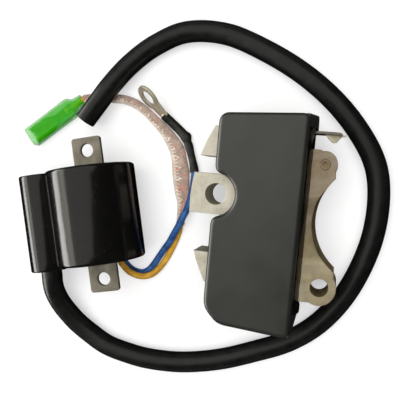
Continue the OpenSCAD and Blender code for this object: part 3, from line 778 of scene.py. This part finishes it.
def glass_sleeve():
    """Braided sleeve: nine flat yarns each way, one over one under, round a limp flattened tube."""
    shape = Builder()
    path = spline(SLEEVE_ROUTE, 0.3 * MM)
    run, _, side, up = along(path)
    half_w, half_h = sleeve_section(path)
    yarns, turn_len, lift, thick = 9, 11 * MM, 0.07 * MM, 0.11 * MM
    sunk = 0.24 * MM
    rows = [shape.ring(hoop(p, side[i], up[i], half_w[i] - sunk, half_h[i] - sunk, 28))
            for i, p in enumerate(path[:, :3])]
    shape.capped(rows, path[0, :3], path[-1, :3])
    outline = [(-1.0, 0.0), (-0.6, 0.8), (0.0, 1.0), (0.6, 0.8), (1.0, 0.0), (0.0, -0.5)]
    spread = 0.42 * TAU / yarns
    for way in (1, -1):
        for k in range(yarns):
            traced = way == 1 and k in (1, 4, 7)
            rows = []
            for i, p in enumerate(path[:, :3]):
                phase = TAU * run[i] / turn_len
                middle = TAU * k / yarns + way * phase
                lifted = way * lift * math.cos(yarns * phase)
                ring = []
                for across, crown in outline:
                    a = middle + across * spread
                    out = lifted + crown * thick - 0.18 * MM
                    ring.append(p + side[i] * (half_w[i] + out) * math.cos(a)
                                + up[i] * (half_h[i] + out) * math.sin(a))
                rows.append(shape.ring(ring))
            # Yarns towards the path's left side get the plain braid. The others get the darker copy, painted
            # shade for the sleeve's shaded right side. The tracer shows in a band between them.
            for i, (a, b) in enumerate(zip(rows, rows[1:])):
                across = math.cos(TAU * k / yarns + way * TAU * run[i] / turn_len)
                shape.skin(a, b, paint=1 if traced and -0.1 < across < 0.5 else 0 if across > 0.4 else 2)
            shape.face(tuple(rows[0]))
            shape.face(tuple(rows[-1]))
    return piece("glass_sleeve_braid", shape, "coil",
                 [PAINT["glass_braid"], PAINT["tracer"], PAINT["braid_painted_shade"]], ["glass_sleeve"], 60)


def heat_shrink():
    """Shrink tube pulled tight over the crimp: a waist, a bulge with a notch beside it, and ragged ends."""
    shape = Builder()
    path = spline(SHRINK_ROUTE, 0.3 * MM)
    total = along(path)[0][-1]
    sides, slim = 28, 0.96

    def radius(s, a):
        swell = 0.42 * hump(s, 12.2 * MM, 1.0 * MM) - 0.14 * hump(s, 10.4 * MM, 0.6 * MM)
        waist = -0.16 * hump(s, 5 * MM, 3.5 * MM)
        lump = 0.07 * wobble((s, math.cos(a) * 1.5 * MM, math.sin(a) * 1.5 * MM), 2.2 * MM, 4)
        flare = 0.05 * math.exp(-s / (0.5 * MM)) + 0.05 * math.exp(-(total - s) / (0.5 * MM))
        outward = 1 + swell * (1.0 if math.cos(a) < 0 else 0.2) + waist + lump + flare
        return SHRINK_R * slim * outward, SHRINK_R * min(slim * outward, 1.0)

    rows = tube_rows(shape, path, radius, sides)
    _, ahead, side, up = along(path)
    for row, i, way in ((rows[0], 0, -1), (rows[-1], -1, 1)):
        for k, index in enumerate(row):
            a = TAU * k / sides
            ragged = 0.35 * wobble((math.cos(a), math.sin(a), way), 0.9, 2)
            shape.points[index] += Vector(ahead[i]) * way * ragged * MM
        mouth = shape.ring(hoop(path[i, :3], side[i], up[i], 1.15 * MM, 1.15 * MM, sides))
        shape.skin(row, mouth)
        shape.fan(mouth, Vector(path[i, :3]) - Vector(ahead[i]) * way * 0.4 * MM)
    return piece("shrink_sleeve", shape, "coil", [PAINT["shrink_tube"]], ["heat_shrink"])


def ring_terminal():
    """Stamped eye and neck with rounded edges, and a round barrel with its seam."""
    shape = Builder()
    place = (Matrix.Translation(MOUNTS["ring_eye"]["pos_m"]) @ Matrix.Rotation(math.radians(-56.5), 4, "Z")
             @ Matrix.Rotation(math.radians(12), 4, "Y") @ Matrix.Rotation(math.radians(57), 4, "X"))
    eye_r, hole_r, sheet = 4.6 * MM, 2.65 * MM, 0.8 * MM
    neck_x, neck_half = 8.6 * MM, 2.2 * MM
    start = math.degrees(math.asin(0.62))
    outline = arc((0, 0), eye_r, start, 360 - start, 56)
    steps = (0.25, 0.5, 0.75, 1.0)
    for (x, y), goal, order in ((outline[-1], -neck_half, steps), (outline[0], neck_half, steps[::-1])):
        for t in order:
            ease = t * t * (3 - 2 * t)
            outline.append((x + (neck_x - x) * t, y + (goal - y) * ease))
    hole = circle((0, 0), hole_r)[::-1]
    plate(shape, [np.array(outline), hole], -sheet / 2, sheet / 2, [0.16 * MM, 0.12 * MM], place)
    barrel = []
    for x, r in ((7.2, 0.9), (7.5, 1.15), (8.0, 1.26), (9.0, 1.3), (11.0, 1.3), (11.1, 1.05)):
        barrel.append(shape.ring([place @ Vector((x * MM, r * MM * math.cos(a), r * MM * math.sin(a)
                                                  - (0.12 * MM if k == 6 else 0)))
                                  for k, a in enumerate(TAU * j / 24 for j in range(24))]))
    shape.capped(barrel, place @ Vector((7.1 * MM, 0, 0)), place @ Vector((11.1 * MM, 0, 0)))
    return piece("ring_terminal_eye", shape, "coil", [PAINT["tin"]], ["ring_terminal"])


def cover_place():
    """Frame of the connector: origin under its middle, X towards the wire."""
    axis = Vector(MOUNTS["spade_mouth"]["axis"])
    mouth = Vector(MOUNTS["spade_mouth"]["pos_m"])
    turn = Matrix.Rotation(math.atan2(-axis.y, -axis.x), 4, "Z")
    return Matrix.Translation((mouth.x, mouth.y, 0)) @ turn @ Matrix.Translation((10 * MM, 0, 0))


def squarish(half_w, half_h, power):
    """Rounded rectangle as a superellipse; power 2 is an ellipse."""
    ring = []
    count = 48
    for k in range(count):
        c, s = math.cos(TAU * k / count), math.sin(TAU * k / count)
        ring.append((half_w * math.copysign(abs(c) ** (2 / power), c),
                     half_h * math.copysign(abs(s) ** (2 / power), s)))
    return ring


def socket_cover():
    """Soft vinyl cover with a real wall: open mouth, flat body, stepped shoulder and a round neck."""
    shape = Builder()
    place = cover_place()
    middle = 2.5
    outer = [(-10, 3.42, 2.42, 5), (-9.85, 3.5, 2.5, 5), (-7, 3.5, 2.48, 5), (-2, 3.46, 2.46, 5),
             (4, 3.5, 2.46, 5), (7.6, 3.52, 2.48, 5), (8.8, 3.42, 2.44, 4.5), (9.5, 3.1, 2.3, 4),
             (9.9, 2.6, 2.15, 3), (10.4, 2.25, 2.05, 2.4), (11.4, 2.05, 1.98, 2.1), (12.8, 1.95, 1.92, 2),
             (13.55, 1.9, 1.9, 2), (13.7, 1.8, 1.8, 2)]
    inner = [(13.7, 1.45, 1.45, 2), (12.4, 1.4, 1.4, 2), (10.6, 1.5, 1.45, 2.1), (9.3, 2.3, 1.7, 3),
             (8.5, 2.85, 1.95, 4), (4, 2.95, 1.98, 5), (-2, 2.94, 1.98, 5), (-9.6, 3.02, 2.02, 5),
             (-9.9, 3.22, 2.25, 5)]
    rows = []
    for x, half_w, half_h, power in outer + inner:
        dent = 0.05 * wobble((x, 0, 0), 3, 2)
        rows.append(shape.ring([place @ (Vector((x, y, middle + z * (1 - dent * 0.5))) * MM)
                                for y, z in squarish(half_w, half_h, power)]))
    shape.skins(rows)
    shape.skin(rows[-1], rows[0])
    return piece("green_cover", shape, "coil", [PAINT["green_pvc"]], ["socket_cover"], 50)


def spade_profile(half_w, curl, sheet, turn):
    """Closed outline of a floor whose two edges curl up and back in; turn is how far they curl, degrees."""
    middle = []
    for side in (-1, 1):
        run = [(side * (half_w - curl) * t, 0) for t in (0, 0.35, 0.7, 1)] if side == 1 else []
        bend = [(side * (half_w - curl + curl * math.sin(math.radians(a))),
                 curl - curl * math.cos(math.radians(a))) for a in np.linspace(0, turn, 10)]
        middle = list(reversed(bend)) + middle if side == -1 else middle + run + bend
    middle = np.array(middle)
    along_way = np.gradient(middle, axis=0)
    along_way /= np.linalg.norm(along_way, axis=1)[:, None] + 1e-12
    normal = np.column_stack([-along_way[:, 1], along_way[:, 0]])
    return np.vstack([middle + normal * sheet / 2, (middle - normal * sheet / 2)[::-1]])


def spade_socket():
    """Rolled receptacle: floor with a locking dimple, two curled edges, a neck and two crimped barrels."""
    shape = Builder()
    place = cover_place()
    sheet = 0.38
    floor_z = 1.45
    stations = [(-8.5, 2.75, 0.8, 215), (-8.3, 2.7, 0.82, 225), (-5.2, 2.7, 0.82, 225),
                (-1.8, 2.7, 0.82, 222), (-1, 2.5, 0.85, 170), (0.2, 1.9, 0.9, 110), (1.4, 1.35, 0.95, 100),
                (2.2, 1.25, 1.05, 165), (5.8, 1.22, 1.02, 172), (6.2, 1.3, 1.0, 100), (6.7, 1.4, 1.15, 110),
                (7.2, 1.35, 1.3, 160), (9.0, 1.35, 1.3, 165)]
    rows = []
    for x, half_w, curl, turn in stations:
        ring = []
        for y, z in spade_profile(half_w, curl, sheet, turn):
            dimple = 0.35 * math.exp(-((x + 4) ** 2 + y ** 2) / 0.5) if z < 0.5 else 0
            ring.append(place @ (Vector((x, y, floor_z + z + dimple)) * MM))
        rows.append(shape.ring(ring))
    shape.skins(rows)
    half = len(rows[0]) // 2
    for row in (rows[0], rows[-1]):
        for i in range(half - 1):
            shape.face((row[i], row[i + 1], row[-2 - i], row[-1 - i]))
    return piece("spade_receptacle", shape, "coil", [PAINT["brass"]], ["spade_socket"], 50)


# ---------------------------------------------------------------- coil: case, resin and strap

def rise(height, r):
    """Angle in degrees of the point of a circle that is that much above its centre."""
    return math.degrees(math.asin(height / r))


def coil_outline():
    """Softened section of the drum, the boss and the web between them, and each point's edge radius."""
    left_join, low_join = rise(13.5 - DRUM[1], DRUM_R), rise(5 - DRUM[1], DRUM_R)
    boss_top, boss_low = rise(4, BOSS_R), rise(-4.5, BOSS_R)
    flat = rise(-DRUM[1], DRUM_R)
    points = (arc(DRUM, DRUM_R, 180 - left_join, flat, 140)
              + arc(DRUM, DRUM_R, -180 - flat, -180 - low_join, 20)
              + arc(BOSS, BOSS_R, boss_low, boss_top - 360, 100))
    loop = even(np.array(points) * MM, 0.25 * MM)
    corners = [Vector(points[k]) * MM for k in (140, 141, 161, 162)]
    for _ in range(8):
        near = np.array([min((Vector(p) - c).length for c in corners) for p in loop])
        share = np.clip(1.4 - near / (1.0 * MM), 0, 1)[:, None] * 0.5
        loop = loop * (1 - share) + (np.roll(loop, 1, axis=0) + np.roll(loop, -1, axis=0)) / 2 * share
    join = np.array(points[0]) * MM
    ridge = np.exp(-(np.linalg.norm(loop - join - np.array([0.0, 0.55 * MM]), axis=1) / (0.18 * MM)) ** 2)
    outward = loop - np.array(DRUM) * MM
    outward /= np.linalg.norm(outward, axis=1)[:, None]
    loop = loop + outward * ridge[:, None] * 0.12 * MM
    edge = np.where(loop[:, 0] < BOSS_SIDE, 0.6, 1.0) * MM
    return loop, edge


def step_cap(shape, ring, boss, holes):
    """End face in two levels, the boss part and the drum part, each with its holes, and the step between."""
    first = [i for i, b in zip(ring, boss) if b]
    rest = [i for i, b in zip(ring, boss) if not b]
    shape.fill([first] + holes[0])
    shape.fill([rest] + holes[1])
    shape.face((first[0], rest[-1], rest[0], first[-1]))


def coil_case():
    """One moulding: drum and longer boss, an open mouth, the lead's bore beside it and the strap's slot."""
    shape = Builder()
    low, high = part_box("coil_case")
    drum_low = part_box("coil_potting")[0].y
    loop, edge = coil_outline()
    start = int(np.argmax(loop[:, 0] > BOSS_SIDE))
    loop, edge = np.roll(loop, -start, axis=0), np.roll(edge, -start)
    boss = loop[:, 0] <= BOSS_SIDE
    front_y = np.where(boss, low.y, drum_low)
    back_y = np.where(boss, high.y, -drum_low)
    edge = np.convolve(np.r_[edge[-4:], edge, edge[:4]], np.ones(9) / 9, "valid")

    def section(ends, share, way):
        """Ring near an end: share runs from 0 on the wall to 1 on the end face."""
        bend = share * math.pi / 2
        moved = shift(loop, -edge * (1 - math.cos(bend)) * loop_way)
        return [Vector((p[0], y - way * e * (1 - math.sin(bend)), p[1]))
                for p, e, y in zip(moved, edge, ends)]

    area = np.sum(loop[:, 0] * np.roll(loop[:, 1], -1) - loop[:, 1] * np.roll(loop[:, 0], -1))
    loop_way = -1 if area > 0 else 1
    front = [shape.ring(section(front_y, k / 5, -1)) for k in range(5, -1, -1)]
    back = [shape.ring(section(back_y, k / 5, 1)) for k in range(6)]
    middle = []
    for t in np.linspace(0, 1, 15)[1:-1]:
        a, b = (np.array([shape.points[i] for i in row]) for row in (front[-1], back[0]))
        middle.append(shape.ring(list(a + (b - a) * t)))
    shape.skins(front + middle + back)

    def ring_at(centre, r, y, count=72):
        return shape.ring([(x, y, z) for x, z in circle(centre, r, count)])

    drum, lead = (DRUM[0] * MM, DRUM[1] * MM), (BOSS[0] * MM, BOSS[1] * MM)
    mouth_r, mouth_deep, bore_r, bore_deep = 12.9, 29.2, 3.6, 23.0
    mouth = [ring_at(drum, r * MM, drum_low + y * MM) for r, y in
             ((13.3, 0), (13.08, 0.06), (12.95, 0.2), (mouth_r, 0.45), (mouth_r, mouth_deep))]
    bore = [ring_at(lead, r * MM, low.y + y * MM, 48) for r, y in
            ((3.95, 0), (3.72, 0.1), (3.62, 0.3), (bore_r, 0.6), (bore_r, bore_deep))]
    shape.skins(mouth)
    shape.skins(bore)
    shape.fan(bore[-1], (lead[0], low.y + bore_deep * MM, lead[1]))
    step_cap(shape, front[0], boss, ([bore[0]], [mouth[0]]))
    half_w, half_t = (STRAP_W + 0.12) * MM, (STRAP_T + 0.07) * MM
    slot = [(sx * half_w, drum[1] + sz * half_t) for sx, sz in ((-1, -1), (1, -1), (1, 1), (-1, 1))]
    inside = shape.ring([(x, drum_low + mouth_deep * MM, z) for x, z in slot])
    outside = shape.ring([(x, -drum_low, z) for x, z in slot])
    shape.skin(inside, outside)
    shape.fill([mouth[-1], inside])
    step_cap(shape, back[-1], boss, ([], [outside]))
    return piece("coil_case_shell", shape, "coil", [PAINT["coil_case"]], ["coil_case"], 40)


def coil_resin():
    """Resin in the mouth, climbing the wall, strap and wires, and a bead round the strap at both ends."""
    shape = Builder()
    low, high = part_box("coil_potting")
    centre = Vector((0, 0, DRUM[1] * MM))
    wires = (Vector(YELLOW_ROUTE[0]), Vector(BLUE_ROUTE[0]))
    reach, sides = 12.86 * MM, 90
    corners = [(-STRAP_W, -STRAP_T), (STRAP_W, -STRAP_T), (STRAP_W, STRAP_T), (-STRAP_W, STRAP_T)]

    def surface(x, z):
        climb = 0.35 * math.exp(-(reach - math.hypot(x, z)) / (0.5 * MM))
        beside = Vector((max(abs(x) - STRAP_W * MM, 0), max(abs(z) - STRAP_T * MM, 0))).length
        climb += 0.3 * math.exp(-beside / (0.6 * MM))
        for w in wires:
            near = math.hypot(x - w.x, z - (w.z - centre.z)) - 1.1 * MM
            climb += 0.45 * math.exp(-max(near, 0) / (0.45 * MM))
        return (0.5 - min(climb, 0.5) + 0.1 * wobble((x, z, 0), 3.5 * MM, 1)) * MM

    rows = []
    for k in range(1, 31):
        r = reach * (k / 30) ** 0.9
        ring = []
        for j in range(sides):
            x, z = r * math.cos(TAU * j / sides), r * math.sin(TAU * j / sides)
            ring.append((x, low.y + max(surface(x, z), 0.02 * MM), z + centre.z))
        rows.append(shape.ring(ring))
    far = Vector((0, high.y, centre.z))
    rows.append(shape.ring(hoop(far, Vector((1, 0, 0)), Vector((0, 0, 1)), reach, reach, sides)))
    shape.capped(rows, (0, low.y + surface(0, 0), centre.z), far)
    for end, way in ((-low.y, 1), (low.y + 0.3 * MM, -1)):
        beads = []
        for grow, out in ((0.55, -0.3), (0.5, 0.05), (0.3, 0.25), (0.05, 0.6), (-0.2, 0.3), (-0.2, -0.3)):
            ring = []
            for x, z in even(corners, 0.5):
                uneven = 1 + 0.8 * wobble((x, z, way), 1.3, 9)
                sx, sz = math.copysign(grow, x), math.copysign(grow, z)
                ring.append(((x + sx * uneven) * MM, end + way * out * uneven * MM,
                             (z + sz * uneven) * MM + centre.z))
            beads.append(shape.ring(ring))
        shape.skins(beads)
        shape.skin(beads[-1], beads[0])
    return piece("coil_resin", shape, "coil", [PAINT["resin"]], ["coil_potting"], 60)


def strap():
    """Steel strap with its edges and the rims of its holes rounded."""
    shape = Builder()
    low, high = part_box("core_strap")
    plate(shape, cad_loops("core_strap"), low.z, high.z, [0.14 * MM, 0.3 * MM, 0.3 * MM])
    return piece("strap_bar", shape, "coil", [PAINT["strap_steel"]], ["core_strap"])


# ---------------------------------------------------------------- module

def cut(base, cutters):
    """The mesh with the cutters taken away."""
    work = bpy.data.objects.new("work", base)
    bpy.context.scene.collection.objects.link(work)
    tools = []
    for data in cutters:
        tool = bpy.data.objects.new("tool", data)
        bpy.context.scene.collection.objects.link(tool)
        modifier = work.modifiers.new("cut", "BOOLEAN")
        modifier.operation = "DIFFERENCE"
        modifier.solver = "EXACT"
        modifier.object = tool
        tools.append(tool)
    bpy.context.view_layer.update()
    result = bpy.data.meshes.new_from_object(work.evaluated_get(bpy.context.evaluated_depsgraph_get()))
    for obj in [work] + tools:
        bpy.data.objects.remove(obj)
    return result


def block(low, high):
    """Box from corner to corner in mm of the module's frame, as a cutter."""
    shape = Builder()
    rows = [shape.ring([MODULE @ (Vector((x, y, z)) * MM) for x, y in
                        ((low[0], low[1]), (high[0], low[1]), (high[0], high[1]), (low[0], high[1]))])
            for z in (low[2], high[2])]
    shape.skin(*rows)
    shape.face(tuple(rows[0]))
    shape.face(tuple(rows[1]))
    return shape.mesh("block")


def soften(loop, size, step, rounds):
    """The loop cut at even steps, with every sharp corner worn round over that size."""
    p = np.array(loop, float)
    ahead, behind = np.roll(p, -1, axis=0) - p, p - np.roll(p, 1, axis=0)
    turn = np.abs(np.arctan2(behind[:, 0] * ahead[:, 1] - behind[:, 1] * ahead[:, 0],
                             np.sum(behind * ahead, axis=1)))
    corners = p[turn > math.radians(25)]
    q = even(p, step)
    near = np.min(np.linalg.norm(q[:, None] - corners[None], axis=2), axis=1)
    share = np.clip(1.5 - near / size, 0, 1)[:, None] * 0.5
    for _ in range(rounds):
        q = q * (1 - share) + (np.roll(q, 1, axis=0) + np.roll(q, -1, axis=0)) / 2 * share
    return q


def cheek(shape, y, out):
    """Thick end of the case's open side, standing out by out[0] at y[0] and out[1] at y[1], mm."""
    rows = []
    first, span = y[0], y[1] - y[0]
    near_end = ((0, 0.3), (0.09, 0.09), (0.3, 0))
    for along_y, inset in near_end + tuple((span - t, inset) for t, inset in reversed(near_end)):
        w = out[0] + (out[1] - out[0]) * along_y / span - inset
        crest, brow = CASE_X + w, CASE_X + w * 0.94
        face = [(12.0, 0.7 + inset), (12.9, 0.3 + inset), (brow, 7.2), (crest, 8.4),
                (crest, 17.4), (brow, 18.6), (12.9, 24.3 - inset), (12.0, 23.9 - inset)]
        rows.append(shape.ring([MODULE @ (Vector((x, first + along_y, z)) * MM) for x, z in face]))
    shape.solid(rows)


def module_case():
    """Moulded case with rounded edges, open on the lobe side between two cheeks, slotted for the legs."""
    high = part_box("module_case")[1]
    plan = cad_loops("module_case", MODULE)[0]
    loop = soften(plan, 1.8 * MM, 0.35 * MM, 40)
    rim, foot, flat, wall_t = 1.3, 0.5, 0.15, 1.6
    top = high.z / MM
    bends = [math.pi / 2 * k / 6 for k in range(7)]
    levels = [(0, foot + flat)]
    levels += [(foot * (1 - math.sin(t)), foot * (1 - math.cos(t))) for t in reversed(bends)]
    levels += [(foot + flat, 0), (top - rim - flat, 0)]
    levels += [(top - rim * (1 - math.sin(t)), rim * (1 - math.cos(t))) for t in bends] + [(top, rim + flat)]
    shape = Builder()
    shape.solid([shape.ring([MODULE @ Vector((x, y, z * MM)) for x, y in shift(loop, inset * MM)])
                 for z, inset in levels])
    hollow = Builder()
    hollow.solid([hollow.ring([MODULE @ Vector((x, y, z * MM)) for x, y in shift(plan, wall_t * MM)])
                  for z in (wall_t, top - wall_t)])
    taken = [hollow.mesh("hollow"), block((10.21, -25.8, wall_t + 0.02), (22, 29.4, top - wall_t - 0.03))]
    slot_low, slot_high, outside = 6.8, 19.7, -16
    for first, last, inner in ((18.7, 28.5, -9), (-20.1, -10.3, -9), (1.1, 13.9, -3)):
        taken.append(block((outside, first, slot_low), (inner, last, slot_high)))
    data = cut(shape.mesh("outer"), taken)
    cheeks = Builder()
    cheek(cheeks, (29.43, 33.15), (2.4, 2.3))
    cheek(cheeks, (-32.4, -25.83), (0.4, 1.6))
    work = bmesh.new()
    work.from_mesh(data)
    work.from_mesh(cheeks.mesh("cheeks"))
    work.to_mesh(data)
    work.free()
    return piece("module_case_shell", data, "module", [PAINT["module_case"]],
                 ["module_case"], 32)


def core_profile(low, high, sheets):
    """Wall of a stack of sheets: a fine groove at every joint, and each sheet a little in or out."""
    rng = random.Random(11)
    pitch = (high - low) / sheets
    profile = []
    for k in range(sheets):
        z, stray = low + k * pitch, rng.uniform(0, 0.05) * MM
        groove = 0.09 * MM
        profile += [(z + 0.02 * pitch, groove), (z + 0.16 * pitch, stray), (z + 0.84 * pitch, stray)]
    profile += [(high - 0.02 * pitch, 0.08 * MM)]
    profile[0] = (low, 0.12 * MM)
    profile[-1] = (high, 0.12 * MM)
    return profile


def leaning_wall(shape, loop, profile):
    """Outer wall of the core; on the lobe side its sheets step back a little one above the other."""
    turn = MODULE.inverted()
    at = np.array([(turn @ Vector((x, y, 0))).to_tuple()[:2] for x, y in loop])
    way = np.roll(at, -1, axis=0) - np.roll(at, 1, axis=0)
    facing = np.clip(way[:, 1] / np.linalg.norm(way, axis=1), 0, 1)
    hub = np.clip((12 * MM - np.abs(at[:, 1])) / (4 * MM), 0, 1)
    outside = np.clip((at[:, 0] - 14 * MM) / (2 * MM), 0, 1)
    lean = facing * outside * (0.45 + 0.65 * hub) * MM
    back = (MODULE.to_3x3() @ Vector((-1, 0, 0))).to_tuple()[:2]
    low, high = profile[0][0], profile[-1][0]
    rows = []
    for z, inset in profile:
        moved = shift(loop, inset) + np.outer(lean * (z - low) / (high - low), back)
        rows.append(shape.ring([(x, y, z) for x, y in moved]))
    shape.skins(rows)
    return rows


def module_core():
    """Laminated core: twenty-five sheets stacked, with screw holes and rivet holes."""
    shape = Builder()
    low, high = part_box("module_core")
    loops = cad_loops("module_core")
    profile = core_profile(low.z, high.z, 25)
    walls = [leaning_wall(shape, loops[0], profile)]
    walls += [wall(shape, loop, profile) for loop in loops[1:]]
    shape.fill([rows[0] for rows in walls])
    shape.fill([rows[-1] for rows in walls])
    return piece("core_stack", shape, "module", [PAINT["core_steel"]], ["module_core"])


def core_rivets():
    """Rivets pressed about flush, with a low ridge round a shallow dimple at both ends."""
    shape = Builder()
    low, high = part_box("core_rivets")
    for loop in cad_loops("core_rivets"):
        centre = loop.mean(axis=0)
        r = np.linalg.norm(loop - centre, axis=1).mean()
        profile = [(1.0, -0.12), (0.9, 0.02), (0.72, 0.06), (0.62, 0.0), (0.5, -0.04), (0.3, -0.1),
                   (0.1, -0.13)]
        rows = []
        for end, way, order in ((low.z, -1, reversed(profile)), (high.z, 1, profile)):
            for share, out in order:
                z = end + way * out * MM
                rows.append(shape.ring([(x, y, z) for x, y in circle(centre, r * share, 32)]))
        shape.capped(rows, (*centre, low.z + 0.14 * MM), (*centre, high.z - 0.14 * MM))
    return piece("core_rivet_heads", shape, "module", [PAINT["core_steel"]], ["core_rivets"])


def module_resin():
    """Resin slab in the open side: uneven, sloped at its edges, and climbing the cheek at each end."""
    shape = Builder()
    profile = [(11.8, 1.65), (13.2, 1.65), (14.0, 3.6), (14.75, 6.2), (14.9, 8.5), (14.95, 13), (14.9, 17.8),
               (14.75, 19.7), (14.2, 21.4), (13.6, 22.8), (13.2, 23.35), (11.8, 23.35)]
    profile = even(profile, 0.6)
    first_y, last_y = -25.7, 29.3
    rows = []
    for y in np.linspace(first_y, last_y, 111):
        ring = []
        for x, z in profile:
            out = 0.0
            if x > CASE_X + 0.05:
                out = 0.16 * wobble((0, y, z), 4, 3) + 0.05 * wobble((0, y, z), 1.1, 5)
                out += 0.25 * math.exp(-min(last_y - y, y - first_y) / 0.6)
            ring.append(MODULE @ (Vector((x + out, y, z)) * MM))
        rows.append(shape.ring(ring))
    shape.solid(rows)
    return piece("module_resin", shape, "module", [PAINT["resin"]], ["module_potting"], 60)


def strip(shape, line, thick, low, high, edge, paint=0):
    """Sheet strip on edge: a plan line given a thickness, with rounded edges."""
    line = np.array(line, float)
    way = np.gradient(line, axis=0)
    way /= np.linalg.norm(way, axis=1)[:, None]
    left = np.column_stack([-way[:, 1], way[:, 0]]) * thick / 2
    loop = np.vstack([line - left, (line + left)[::-1]])
    plate(shape, [loop * MM], low * MM, high * MM, [edge * MM], MODULE, paint)


def output_blade():
    """Output blade on edge, with a flat three-cornered tongue folded out of it and a bent tip."""
    shape = Builder()
    line = [(11.4, 28.4), (16, 28.45), (20.5, 28.5), (22.0, 28.4), (22.6, 28.1)]
    strip(shape, line, 0.8, 11.5, 17.8, 0.12, 1)
    tongue = [(17.6, 28.3), (18.7, 27.0), (19.8, 25.95), (20.6, 25.8), (21.3, 26.0), (22.1, 27.1),
              (22.6, 27.7), (23.9, 27.85), (23.9, 28.35), (22.4, 28.35)]
    plate(shape, [even(tongue, 0.4) * MM], 14.4 * MM, 15 * MM, [0.1 * MM], MODULE)
    return piece("output_blade", shape, "module", [PAINT["tin"], PAINT["strap_steel"]],
                 ["output_tab"])


def dress_cad_nodes():
    """The inner parts keep their CAD shape and get the finish of their slot."""
    for entry in frame["record"]["subparts"]:
        obj = frame["nodes"][entry["node"]]
        obj.data.materials.clear()
        obj.data.materials.append(PAINT[entry["material_slot"]])


# ---------------------------------------------------------------- the set

make_camera()
PAINT = all_materials()
lead, lead_path = ht_lead()
strands = lead_strands()
sleeve = glass_sleeve()
shrink = heat_shrink()
ring = ring_terminal()
cover = socket_cover()
socket = spade_socket()
yellow, yellow_path = wire("yellow_lead", YELLOW_ROUTE + [p[:3] for p in SLEEVE_ROUTE] + SOCKET_END, YELLOW_D,
                           "yellow_pvc", "yellow_wire", 1)
blue, blue_path = wire("blue_lead", BLUE_ROUTE + SHRINK_ROUTE, BLUE_D, "blue_pvc", "blue_wire", 2)
[tuple(p) for p in lead_path[:, :3]]
[tuple(p) for p in yellow_path[:, :3]]
[tuple(p) for p in blue_path[:, :3]]
make_floor()
make_lights()
for make in (coil_case, coil_resin, strap, module_case, module_core, core_rivets, module_resin,
             output_blade, dress_cad_nodes):
    make()
